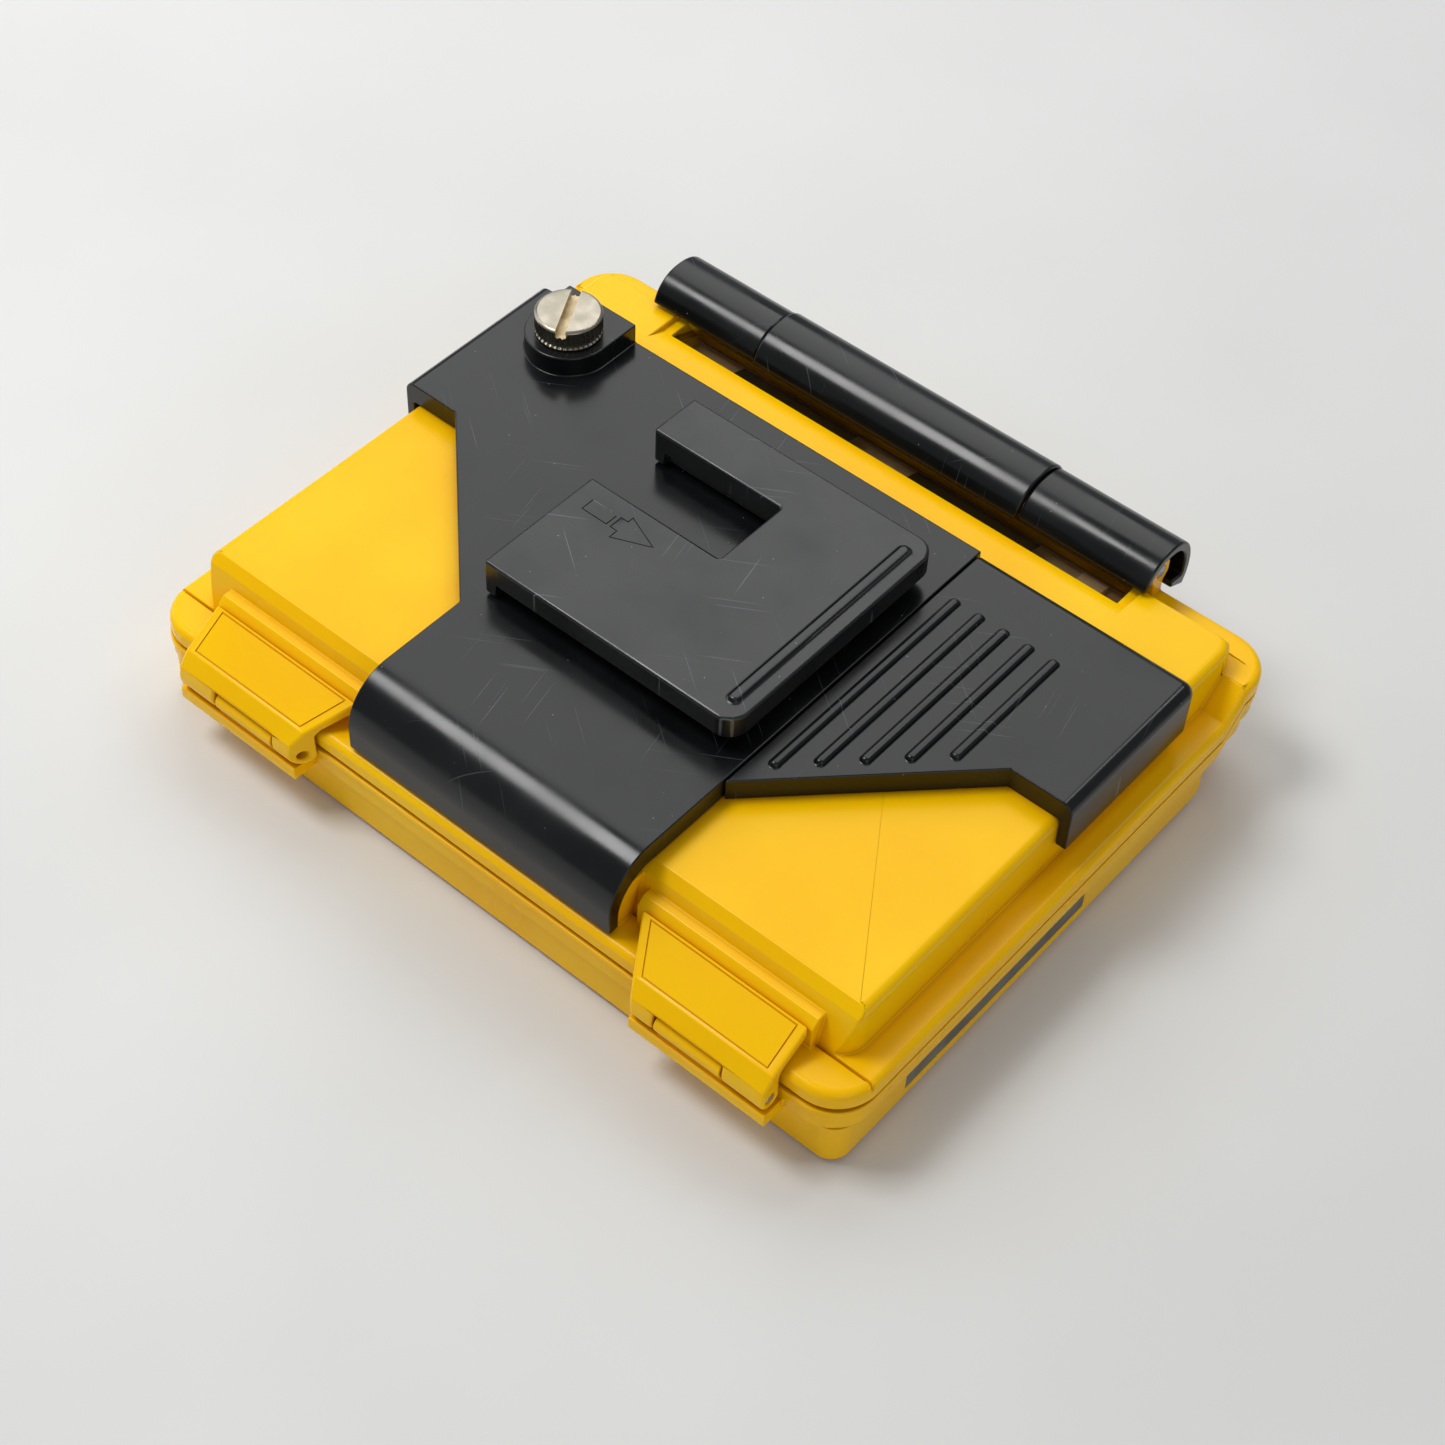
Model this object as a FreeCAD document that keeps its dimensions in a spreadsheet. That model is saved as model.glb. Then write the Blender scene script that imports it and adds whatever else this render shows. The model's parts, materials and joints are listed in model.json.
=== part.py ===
import FreeCAD, Part
import os
import re
import Sketcher

# A water-resistant pocket radio and cassette player, lying on its lid with its back up.
# X runs along the hinge, Y from the latches to the hinge, Z up. Millimetres.

os.makedirs("parts", exist_ok=True)
doc = FreeCAD.newDocument("SportsRadio")
sheet = doc.addObject("Spreadsheet::Sheet", "Sizes")

SIZES = {
    # Frame
    "ground": 0.0,
    "middle": 0.0,
    # Running and seating clearances
    "touch_gap": 0.05,
    "slip_gap": 0.1,
    "seat_gap": 0.2,
    "swing_gap": 0.3,
    # Steps from the lid outwards and from the case inwards
    "case_rim": 0.4,
    "shelf_wide": 4.4,
    "wrap_stand": 1.7,
    "deck_inset": 2.3,
    "board_inset": 3.3,
    "knob_inset": 4.3,
    "switch_inset": 4.9,
    "button_proud": 0.8,
    "button_long": 3.5,
    "jack_inset": 1.9,
    "jack_long": 11.8,
    "jack_proud": 0.3,
    "ledge_inset": 4.7,
    "latch_side_gap": 0.4,
    "screw_inset": 4.0,
    "arm_wide": 9.7,
    "lid_front_step": 0.1,
    "screw_from_side": 12.2,
    "screw_to_bay": 2.8,
    "spring_room": 4.5,
    "pointer_inset": 5.5,
    "jack_lift": 0.6,
    # Lid
    "lid_half": 60.3,
    "lid_front": 46.9,
    "lid_back": 46.2,
    "lid_lip_out": 0.35,
    "lid_lip_tall": 1.0,
    "lid_band_tall": 3.8,
    "lid_foot_corner": 3.0,
    "lid_inset": 0.9,
    "lid_height": 11.7,
    "lid_wall": 2.2,
    "lid_floor": 2.0,
    "lid_belly_back": 33.4,
    "lid_belly_foot": 31.6,
    "lid_belly_lift": 1.8,
    "lid_belly_top": 5.7,
    "lid_shelf_front": 36.8,
    "lid_shelf_under": 7.2,
    "lid_corner": 6.0,
    "lid_foot_round": 1.2,
    # Step of the parting line near the hinge
    "step_start": 34.4,
    "step_run": 4.0,
    "step_rise": 4.0,
    "split_gap": 0.6,
    # Flange of the rear case
    "flange_thick": 2.8,
    "flange_corner": 6.5,
    "flange_round": 1.2,
    "case_wall": 1.8,
    # Raised back of the rear case
    "back_level": 23.2,
    "back_front_foot": 41.5,
    "back_front_knee": 39.2,
    "back_front_edge": 37.9,
    "back_knee_drop": 1.5,
    "back_rear_edge": 40.3,
    "back_rear_foot": 42.2,
    "back_corner": 4.0,
    "back_round": 1.4,
    # Latch ledges and nose block on the case front
    "ledge_inner": 23.6,
    "ledge_front": 42.3,
    "ledge_level": 19.9,
    "ledge_slope": 1.2,
    "nose_half": 22.2,
    "nose_front": 44.2,
    "nose_level": 21.4,
    "nose_bevel": 2.4,
    # Black covers
    "cover_level": 26.8,
    "cover_back": 28.4,
    "arm_front": 0.4,
    "cover_joint": 22.8,
    "joint_gap": 0.15,
    "cut_drop": 25.6,
    "wrap_foot": 18.5,
    "tongue_half": 22.7,
    "tongue_front": 46.3,
    "tongue_skin": 1.7,
    "tongue_foot": 15.8,
    "tongue_bend": 7.5,
    "wrap_round": 1.8,
    "cover_corner": 3.5,
    # Screw pad on the battery cover
    "screw_y": 21.2,
    "pad_radius": 6.4,
    "pad_rise": 3.2,
    # Coin screw, insert and ring
    "head_radius": 4.9,
    "head_tall": 3.5,
    "slot_wide": 1.5,
    "slot_deep": 1.3,
    "slot_turn": 118.0,
    "screw_seat": 30.05,
    "shank_radius": 2.0,
    "shank_long": 12.6,
    "insert_radius": 3.2,
    "insert_foot": 16.0,
    "insert_tall": 6.6,
    "ring_radius": 3.4,
    "ring_thick": 0.6,
    "ring_groove": 1.7,
    # Ribs on the side cover
    "rib_count": 5,
    "rib_first": 25.8,
    "rib_pitch": 4.03,
    "rib_wide": 1.45,
    "rib_tall": 0.65,
    "rib_back": 18.9,
    "rib_front": 19.5,
    "rib_step": 4.08,
    # Belt clip and its rails
    "clip_half": 21.2,
    "clip_front": 21.9,
    "clip_back": 19.9,
    "clip_under": 29.6,
    "clip_level": 33.0,
    "clip_corner": 3.0,
    "clip_notch_right": 1.2,
    "clip_notch_front": 1.0,
    "clip_notch_back": 11.6,
    "clip_wall_set": 0.8,
    "clip_wall_thick": 1.6,
    "clip_lip_tall": 2.4,
    "clip_lip_wide": 2.0,
    "clip_bead_x": 18.3,
    "clip_bead_wide": 1.6,
    "clip_bead_tall": 0.55,
    "clip_bead_end": 3.0,
    "rail_y": 9.85,
    "rail_shift": 6.35,
    "rail_half_long": 15.0,
    "rail_stem": 1.4,
    "rail_head": 3.0,
    "rail_head_level": 28.3,
    "rail_top": 29.5,
    "hook_wide": 1.0,
    "hook_foot": 27.55,
    "hook_reach": 0.5,
    # Hinge axis and black bar
    "hinge_y": 45.4,
    "hinge_z": 22.6,
    "pin_radius": 1.0,
    "knuckle_radius": 3.2,
    "bar_left": 45.4,
    "bar_right": 42.4,
    "seam_left": 26.1,
    "seam_right": 21.1,
    "bar_seam_gap": 0.2,
    "bar_skin": 1.4,
    "bar_front": 38.7,
    "bar_front_foot": 25.2,
    "bar_top": 27.6,
    "bar_round_y": 44.2,
    "bar_round_z": 21.1,
    "bar_round": 6.5,
    "bar_swell": 0.7,
    "bar_centre_foot": 24.9,
    "bar_lip_drop": 0.5,
    "bar_brow": 2.3,
    "bar_end_in": 0.27,
    "bar_end_mid": 1.0,
    "bar_end_out": 2.0,
    "hook_out_y": 49.8,
    "hook_out_z": 17.8,
    "hook_in_y": 46.6,
    "hook_in_z": 19.35,
    "hook_share": 0.8,
    "lug_thick": 1.8,
    "lug_front": 43.9,
    "lug_foot_back": 46.2,
    "lug_neck_z": 20.6,
    "lug_cheek_y": 47.2,
    "lug_cheek_low": 21.8,
    "lug_cheek_high": 23.6,
    "lug_shoulder_z": 25.3,
    "lug_root": 18.5,
    "lug_nose": 43.3,
    "lug_inset": 1.2,
    # Hinge arms of the lid
    "arm_long": 14.0,
    "arm_skin": 1.4,
    "arm_left_x": 24.6,
    "arm_right_x": 5.6,
    "arm_foot": 8.6,
    # Dial pit, pane, plate and pointer
    "pit_half": 39.0,
    "pit_front": 37.2,
    "pit_back": 43.0,
    "pit_rim": 36.7,
    "pit_rim_z": 22.3,
    "pit_slope_start": 33.4,
    "pit_slope_side": 2.5,
    "pane_back": 43.2,
    "pane_seat_back": 43.4,
    "pit_floor": 17.2,
    "pane_ledge": 0.8,
    "pane_thick": 0.8,
    "pane_front_z": 21.2,
    "pane_back_z": 18.9,
    "plate_thick": 0.5,
    "pointer_half": 2.1,
    "pointer_front": 38.4,
    "pointer_deep": 3.4,
    "pointer_tall": 0.8,
    # Battery bay and cells
    "bay_front": 2.0,
    "bay_back": 24.6,
    "bay_floor": 14.1,
    "bay_skin": 1.0,
    "cell_radius": 5.25,
    "cell_long": 44.5,
    "cell_nub_radius": 1.9,
    "cell_nub": 1.0,
    "cell_pitch": 11.3,
    "contact_thick": 0.6,
    "contact_half": 4.0,
    "bay_roof": 25.4,
    # Deck plate
    "deck_level": 15.0,
    "deck_thick": 1.0,
    "deck_front": 37.2,
    "deck_back": 38.0,
    "reel_x": 21.25,
    "reel_y": 6.3,
    "reel_hole": 2.2,
    "capstan_x": 30.5,
    "capstan_y": 29.6,
    "capstan_hole": 1.4,
    # Reels
    "reel_shaft": 2.0,
    "reel_hub": 3.2,
    "reel_fin": 4.3,
    "reel_fin_wide": 1.0,
    "reel_foot": 5.0,
    "reel_wheel": 6.1,
    "reel_wheel_thick": 1.6,
    # Flywheel, motor, pulley, belt
    "flywheel_radius": 7.4,
    "flywheel_thick": 2.6,
    "flywheel_groove_radius": 6.0,
    "flywheel_groove": 1.2,
    "capstan_radius": 1.0,
    "capstan_foot": 4.0,
    "motor_x": 8.0,
    "motor_y": 27.4,
    "motor_radius": 8.6,
    "motor_tall": 3.0,
    "pulley_radius": 2.6,
    "pulley_tall": 1.2,
    "belt_radius": 0.35,
    "float_gap": 0.3,
    # Head bracket, head, pinch arm
    "bracket_left": 18.0,
    "bracket_right": 47.0,
    "bracket_front": 43.6,
    "bracket_level": 11.2,
    "bracket_thick": 0.9,
    "head_half": 6.0,
    "head_front": 42.6,
    "head_deep": 6.4,
    "head_foot": 4.4,
    "pinch_x": 43.0,
    "pinch_y": 40.0,
    "pinch_reach": 12.0,
    "pinch_radius": 3.2,
    "pinch_foot": 5.0,
    "pinch_tall": 4.6,
    "pinch_arm_wide": 3.0,
    "pinch_arm_thick": 0.8,
    "pinch_pin": 0.8,
    # Circuit board, switches, tuner, volume
    "board_right": 12.0,
    "board_front": 37.0,
    "board_back": 13.8,
    "board_thick": 1.0,
    "knob_radius": 5.0,
    "knob_y": 32.0,
    "knob_step": 11.0,
    "knob_foot": 18.4,
    "knob_thick": 2.0,
    "knob_bore": 1.2,
    "knob_slot_half": 4.7,
    "tuner_half": 5.0,
    "tuner_tall": 1.0,
    "switch_half": 1.2,
    "switch_deep": 3.2,
    "switch_tall": 3.4,
    "button_first": 13.2,
    "button_pitch": 3.8,
    "button_half": 1.45,
    "button_foot": 17.4,
    "button_tall": 3.0,
    "button_collar": 0.7,
    # Earphone socket
    "jack_y": 32.0,
    "jack_half": 2.7,
    "jack_nose": 2.2,
    "jack_bore": 1.75,
    "jack_bore_deep": 10.0,
    # Case screws
    "boss_radius": 2.6,
    "screw_radius": 1.0,
    "screw_head": 1.9,
    "screw_head_tall": 0.8,
    "screw_long": 5.0,
    "screw_side_x": 30.0,
    "screw_side_y": 33.0,
    "screw_corner_y": 33.0,
    "screw_board_x": 8.0,
    # Gasket between lid and case, seal round the battery bay
    "gasket_wide": 1.2,
    "gasket_inset": 0.5,
    "seal_wide": 1.0,
    "seal_bite": 0.5,
    # Latches
    "latch_inner_top": 24.9,
    "latch_inner_foot": 29.9,
    "latch_pin_y": 49.0,
    "latch_pin_z": 11.3,
    "latch_eye": 1.65,
    "latch_pin": 0.7,
    "latch_tip_y": 42.6,
    "latch_tip_z": 19.4,
    "latch_tip_under": 17.7,
    "latch_edge_y": 48.8,
    "latch_edge_z": 15.6,
    "latch_face_y": 50.4,
    "latch_face_z": 13.6,
    "latch_front": 50.65,
    "latch_back": 47.5,
    "latch_back_top": 14.7,
    "latch_roof_y": 46.6,
    "latch_roof_z": 15.6,
    "latch_notch_in": 33.4,
    "latch_notch_out": 44.6,
    "latch_notch_top": 13.4,
    "shelf_inner": 29.5,
    "shelf_outer": 51.5,
    "shelf_front": 50.5,
    "shelf_level": 9.2,
    "shelf_thick": 2.1,
    # Lid window, side plate, leaf springs
    "window_half": 24.0,
    "window_front": 14.0,
    "window_back": 10.0,
    "window_recess": 0.6,
    "window_thick": 1.2,
    "window_rim": 1.0,
    "label_front": 32.0,
    "label_back": 6.0,
    "label_foot": 2.4,
    "label_top": 6.2,
    "label_thick": 0.4,
    "spring_x": 34.0,
    "spring_y": 22.0,
    "spring_half": 7.0,
    "spring_wide": 4.0,
    "spring_thick": 0.3,
    "spring_rise": 0.9,
}

# Sizes that follow from others
FOLLOWING = {
    "case_half": "lid_half + case_rim",
    "back_half": "case_half - shelf_wide",
    "cover_half": "back_half + wrap_stand",
    "deck_half": "back_half - deck_inset",
    "board_left": "back_half - board_inset",
    "knob_x": "back_half - knob_inset",
    "switch_x": "back_half - switch_inset",
    "button_out": "back_half + button_proud",
    "button_in": "button_out - button_long",
    "jack_out": "back_half - jack_inset",
    "jack_in": "jack_out - jack_long",
    "jack_nose_out": "back_half + jack_proud",
    "ledge_outer": "back_half - ledge_inset",
    "latch_outer": "ledge_outer - latch_side_gap",
    "screw_corner_x": "deck_half - screw_inset",
    "cut_outer": "cover_half - arm_wide",
    "case_front": "lid_front + lid_front_step",
    "body_half": "lid_half - lid_inset",
    "body_front": "lid_front - lid_inset",
    "case_back": "lid_back + lid_front_step",
    "screw_x": "cover_half - screw_from_side",
    "bay_left": "screw_x - insert_radius - bay_skin - screw_to_bay",
    "bay_right": "cell_long + spring_room - bay_left",
    "pointer_start": "pit_half - pointer_inset",
    "jack_foot": "deck_level + deck_thick + jack_lift",
    "jack_tall": "back_level - case_wall - slip_gap - jack_foot",
}
WORD = re.compile(r"[a-z_]+")
NODES = []


def spelt_out(found):
    """Return the expression behind a following name, or the name itself."""
    name = found.group()
    return "(%s)" % FOLLOWING[name] if name in FOLLOWING else name


def link(text):
    """Return an expression in which every size name points at the sheet."""
    text = str(text)
    while any(word in FOLLOWING for word in WORD.findall(text)):
        text = WORD.sub(spelt_out, text)
    return WORD.sub(lambda m: "Sizes." + m.group() if m.group() in SIZES else m.group(), text)


def value(text):
    """Return the number that an expression of size names gives."""
    return float(sheet.evalExpression(link(text)))


def fill_sheet():
    """Write every size into the sheet as a named plain number."""
    for row, (name, number) in enumerate(SIZES.items(), start=1):
        sheet.set("A%d" % row, name)
        sheet.set("B%d" % row, str(number))
        sheet.setAlias("B%d" % row, name)
    doc.recompute()


def place(thing, x, y, z):
    """Bind the position of an object to the sheet."""
    thing.setExpression(".Placement.Base.x", link(x))
    thing.setExpression(".Placement.Base.y", link(y))
    thing.setExpression(".Placement.Base.z", link(z))


def finish(thing, label, x="middle", y="middle", z="ground"):
    """Name one finished sub-part and bind its position."""
    thing.Label = label
    place(thing, x, y, z)
    NODES.append(thing)


def rect(left, right, low, high):
    """Return the four corners of a rectangle."""
    return [(left, low), (right, low), (right, high), (left, high)]


def new_body(name):
    """Return an empty body."""
    return doc.addObject("PartDesign::Body", name)


def new_sketch(body, plane, level):
    """Return a sketch parallel to one origin plane of the body."""
    role = plane + "_Plane"
    support = next(item for item in body.Origin.OriginFeatures if item.Role == role)
    sketch = body.newObject("Sketcher::SketchObject", "Profile")
    sketch.AttachmentSupport = [(support, "")]
    sketch.MapMode = "FlatFace"
    sketch.setExpression(".AttachmentOffset.Base.z", link(level))
    return sketch


def draw_outline(sketch, points):
    """Draw a closed polygon whose corners are bound to the sheet."""
    spots = [FreeCAD.Vector(value(u), value(v), 0) for u, v in points]
    count = len(spots)
    base = sketch.GeometryCount
    for index in range(count):
        sketch.addGeometry(Part.LineSegment(spots[index], spots[(index + 1) % count]), False)
    for index in range(count):
        follower = base + (index + 1) % count
        sketch.addConstraint(Sketcher.Constraint("Coincident", base + index, 2, follower, 1))
    for index, (u, v) in enumerate(points):
        for kind, text, number in (("DistanceX", u, spots[index].x), ("DistanceY", v, spots[index].y)):
            row = sketch.addConstraint(Sketcher.Constraint(kind, -1, 1, base + index, 1, number))
            sketch.setExpression("Constraints[%d]" % row, link(text))


def draw_circle(sketch, u, v, radius):
    """Draw a circle bound to the sheet."""
    centre = FreeCAD.Vector(value(u), value(v), 0)
    sketch.addGeometry(Part.Circle(centre, FreeCAD.Vector(0, 0, 1), value(radius)), False)
    rows = (("DistanceX", u, centre.x), ("DistanceY", v, centre.y))
    for kind, text, number in rows:
        row = sketch.addConstraint(Sketcher.Constraint(kind, -1, 1, 0, 3, number))
        sketch.setExpression("Constraints[%d]" % row, link(text))
    row = sketch.addConstraint(Sketcher.Constraint("Radius", 0, value(radius)))
    sketch.setExpression("Constraints[%d]" % row, link(radius))


def extrude(body, sketch, kind, low, high):
    """Pad or pocket a sketch between two levels."""
    feature = body.newObject("PartDesign::" + kind, kind)
    feature.Profile = sketch
    feature.setExpression("Length", link("(%s) - (%s)" % (high, low)))
    sketch.Visibility = False
    return feature


def add_prism(body, plane, points, low, high):
    """Add a prism on a polygon between two levels."""
    sketch = new_sketch(body, plane, low)
    draw_outline(sketch, points)
    return extrude(body, sketch, "Pad", low, high)


def cut_prism(body, plane, points, low, high):
    """Cut a prism on a polygon between two levels."""
    sketch = new_sketch(body, plane, high)
    draw_outline(sketch, points)
    return extrude(body, sketch, "Pocket", low, high)


def add_drum(body, plane, u, v, radius, low, high):
    """Add a cylinder between two levels."""
    sketch = new_sketch(body, plane, low)
    draw_circle(sketch, u, v, radius)
    return extrude(body, sketch, "Pad", low, high)


def cut_drum(body, plane, u, v, radius, low, high):
    """Cut a cylinder between two levels."""
    sketch = new_sketch(body, plane, high)
    draw_circle(sketch, u, v, radius)
    return extrude(body, sketch, "Pocket", low, high)


def round_edges(body, radius, wanted):
    """Fillet the straight or curved edges of the body that pass a test."""
    doc.recompute()
    tip = body.Tip
    names = []
    for index, edge in enumerate(tip.Shape.Edges, start=1):
        if wanted(edge):
            names.append("Edge%d" % index)
    fillet = body.newObject("PartDesign::Fillet", "Fillet")
    fillet.Base = (tip, names)
    fillet.setExpression("Radius", link(radius))
    doc.recompute()
    return fillet


def stands(edge):
    """Tell whether an edge is straight and upright."""
    box = edge.BoundBox
    return box.XLength < 0.01 and box.YLength < 0.01 and box.ZLength > 0.3


def near(number, target, reach=0.05):
    """Tell whether two lengths agree."""
    return abs(number - target) < reach


def block(x, y, z):
    """Return a box spanning three pairs of levels."""
    box = doc.addObject("Part::Box", "Block")
    for side, (low, high) in zip(("Length", "Width", "Height"), (x, y, z)):
        box.setExpression(side, link("(%s) - (%s)" % (high, low)))
    place(box, x[0], y[0], z[0])
    return box


def drum(axis, centre, radius, low, high):
    """Return a cylinder along one axis between two levels."""
    rod = doc.addObject("Part::Cylinder", "Drum")
    rod.setExpression("Radius", link(radius))
    rod.setExpression("Height", link("(%s) - (%s)" % (high, low)))
    if axis == "X":
        rod.Placement.Rotation = FreeCAD.Rotation(FreeCAD.Vector(0, 1, 0), 90)
        place(rod, low, centre[0], centre[1])
    elif axis == "Y":
        rod.Placement.Rotation = FreeCAD.Rotation(FreeCAD.Vector(1, 0, 0), -90)
        place(rod, centre[0], low, centre[1])
    else:
        place(rod, centre[0], centre[1], low)
    return rod


def join(shapes):
    """Return the union of several shapes."""
    if len(shapes) == 1:
        return shapes[0]
    union = doc.addObject("Part::MultiFuse", "Union")
    union.Shapes = shapes
    return union


def carve(base, tools):
    """Return a shape with other shapes taken away."""
    result = doc.addObject("Part::Cut", "Carved")
    result.Base = base
    result.Tool = join(tools)
    return result


def stepped_band(front, back, low, high):
    """Return the side outline of a band that follows the step of the parting line."""
    crest = "step_start + step_run"
    return [
        ("-(%s)" % front, low),
        ("step_start", low),
        (crest, low + " + step_rise"),
        (back, low + " + step_rise"),
        (back, high + " + step_rise"),
        (crest, high + " + step_rise"),
        ("step_start", high),
        ("-(%s)" % front, high),
    ]


def four_screws():
    """Return the centres of the case screws."""
    return (
        ("-screw_side_x", "screw_side_y"),
        ("screw_side_x", "screw_side_y"),
        ("screw_corner_x", "-screw_corner_y"),
        ("-screw_board_x", "-screw_corner_y"),
    )


def on_flange_rim(point):
    """Tell whether a point lies on the outer top rim of the flange."""
    corner = value("flange_corner")
    middle_y = value("case_back - case_front") / 2
    reach_x = abs(point.x) - value("case_half") + corner
    reach_y = abs(point.y - middle_y) - value("case_back + case_front") / 2 + corner
    outside = FreeCAD.Vector(max(reach_x, 0), max(reach_y, 0), 0).Length
    edge_gap = outside + min(max(reach_x, reach_y), 0) - corner
    climb = (point.y - value("step_start")) / value("step_run")
    top = value("lid_height + split_gap + flange_thick") + min(max(climb, 0), 1) * value("step_rise")
    return near(edge_gap, 0) and near(point.z, top)


def raised_back(body, core, under):
    """Add the raised back with its rounded corners and its sloping ends."""
    plan = rect("-back_half", "back_half", "-back_front_foot", "back_rear_foot")
    add_prism(body, "XY", plan, core, "back_level")
    surplus = [
        ("step_start", under),
        ("step_start + step_run", under + " + step_rise"),
        ("case_back", under + " + step_rise"),
        ("case_back", "lid_height"),
        ("step_start", "lid_height"),
    ]
    cut_prism(body, "YZ", surplus, "-case_half", "case_half")
    side, floor = value("back_half"), value(under + " + flange_thick")
    round_edges(
        body,
        "back_corner",
        lambda edge: stands(edge)
        and near(abs(edge.CenterOfMass.x), side)
        and edge.CenterOfMass.z > floor + 1,
    )
    wide = "case_half"
    front_slope = [
        ("-back_front_foot", core),
        ("-back_front_knee", "back_level - back_knee_drop"),
        ("-back_front_edge", "back_level"),
        ("-back_front_edge", "cover_level"),
        ("-case_front", "cover_level"),
        ("-case_front", under + " + flange_thick"),
        ("-back_front_foot", under + " + flange_thick"),
    ]
    cut_prism(body, "YZ", front_slope, "-" + wide, wide)
    ridge = under + " + flange_thick + step_rise"
    rear_slope = [
        ("back_rear_foot", ridge),
        ("back_rear_foot", "cover_level"),
        ("back_rear_edge", "cover_level"),
        ("back_rear_edge", "back_level"),
    ]
    cut_prism(body, "YZ", rear_slope, "-" + wide, wide)
    level = value("back_level")
    round_edges(
        body,
        "back_round",
        lambda edge: edge.BoundBox.ZLength < 0.01
        and near(edge.CenterOfMass.z, level)
        and edge.BoundBox.YLength > 0.01
    )
    round_edges(
        body,
        "flange_round",
        lambda edge: on_flange_rim(edge.valueAt((edge.FirstParameter + edge.LastParameter) / 2)),
    )


def case_shell(body):
    """Build the flange, the raised back and the hollow of the rear case."""
    under = "lid_height + split_gap"
    top = under + " + flange_thick"
    core = under + " + flange_thick / 2"
    add_prism(body, "YZ", stepped_band("case_front", "case_back", under, top), "-case_half", "case_half")
    half, front, back = value("case_half"), value("case_front"), value("case_back")
    round_edges(
        body,
        "flange_corner",
        lambda edge: stands(edge)
        and near(abs(edge.CenterOfMass.x), half)
        and (near(edge.CenterOfMass.y, -front) or near(edge.CenterOfMass.y, back)),
    )
    raised_back(body, core, under)
    for sign in ("-1", "1"):
        ends = sorted(["%s * ledge_inner" % sign, "%s * ledge_outer" % sign], key=value)
        ledge = [
            ("-ledge_front", core),
            ("-back_front_edge", core),
            ("-back_front_edge", "ledge_level"),
            ("-ledge_front + ledge_slope", "ledge_level"),
            ("-ledge_front", "ledge_level - ledge_slope"),
        ]
        add_prism(body, "YZ", ledge, ends[0], ends[1])
    nose = [
        ("-nose_front", core),
        ("-back_front_edge", core),
        ("-back_front_edge", "nose_level"),
        ("-nose_front + nose_bevel", "nose_level"),
        ("-nose_front", "nose_level - nose_bevel"),
    ]
    add_prism(body, "YZ", nose, "-nose_half", "nose_half")
    front_wall, rear_wall = "-back_front_knee + case_wall", "back_rear_edge - case_wall"
    hollow = rect(front_wall, rear_wall, "lid_height", "back_level - case_wall")
    cut_prism(body, "YZ", hollow, "-back_half + case_wall", "back_half - case_wall")


def case_bay(body):
    """Build the battery tub, the insert boss and the screw bosses of the rear case."""
    skin = "bay_skin"
    tub = rect("-bay_left - bay_skin", "bay_right + bay_skin", "bay_front - bay_skin", "bay_back + bay_skin")
    add_prism(body, "XY", tub, "bay_floor - " + skin, "back_level - case_wall / 2")
    bay = rect("-bay_left", "bay_right", "bay_front", "bay_back")
    cut_prism(body, "XY", bay, "bay_floor", "back_level + seat_gap")
    roof = "back_level - case_wall / 2"
    add_drum(body, "XY", "-screw_x", "screw_y", "insert_radius + case_wall", "insert_foot", roof)
    cut_drum(body, "XY", "-screw_x", "screw_y", "insert_radius", "insert_foot", "cover_level")
    recess = "insert_foot + insert_tall"
    cut_drum(body, "XY", "-screw_x", "screw_y", "ring_radius + swing_gap", recess, "cover_level")
    for x, y in four_screws():
        deck_top = "deck_level + deck_thick"
        add_drum(body, "XY", x, y, "boss_radius", deck_top, roof)
        cut_drum(body, "XY", x, y, "screw_radius", deck_top, deck_top + " + screw_long")
    seal_low = "back_level - seal_bite"
    cut_ring(body, seal_outline("0"), seal_outline("seal_wide"), seal_low, "back_level + seat_gap")


def seal_outline(inset):
    """Return the rectangle of the battery seal, moved inwards."""
    out = "bay_skin + seal_wide + seat_gap - (%s)" % inset
    return rect(
        "-bay_left - (%s)" % out, "bay_right + (%s)" % out, "bay_front - (%s)" % out, "bay_back + (%s)" % out
    )


def cut_ring(body, outer, inner, low, high):
    """Cut a groove between two nested polygons."""
    sketch = new_sketch(body, "XY", high)
    draw_outline(sketch, outer)
    draw_outline(sketch, inner)
    return extrude(body, sketch, "Pocket", low, high)


def case_dial(body):
    """Cut the dial pit and its pane seat into the rear case."""
    above = "cover_level"
    slope = [
        ("pit_slope_start", "back_level"),
        ("pit_rim", "pit_rim_z"),
        ("pane_seat_back", "pit_rim_z"),
        ("pane_seat_back", above),
        ("pit_slope_start", above),
    ]
    wide = "pit_half + pit_slope_side"
    cut_prism(body, "YZ", slope, "-(%s)" % wide, wide)
    seat = [
        ("pit_rim", "pane_front_z"),
        ("pane_seat_back", "pane_back_z"),
        ("pane_seat_back", above),
        ("pit_rim", above),
    ]
    rim = "pit_half + pane_ledge"
    cut_prism(body, "YZ", seat, "-(%s)" % rim, rim)
    pit = rect("pit_front", "pit_back", "pit_floor", above)
    cut_prism(body, "YZ", pit, "-pit_half", "pit_half")


def lug_outline():
    """Return the side outline of one hinge lug."""
    crown = "bar_top - bar_skin"
    return [
        ("lug_front", "lug_root"),
        ("lug_foot_back", "lug_root"),
        ("lug_foot_back", "lug_neck_z"),
        ("lug_cheek_y", "lug_cheek_low"),
        ("lug_cheek_y", "lug_cheek_high"),
        ("lug_foot_back", "lug_shoulder_z"),
        ("bar_round_y", crown),
        ("lug_nose", crown),
        ("lug_nose", "lug_cheek_low"),
        ("lug_front", "lug_neck_z"),
    ]


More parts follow.
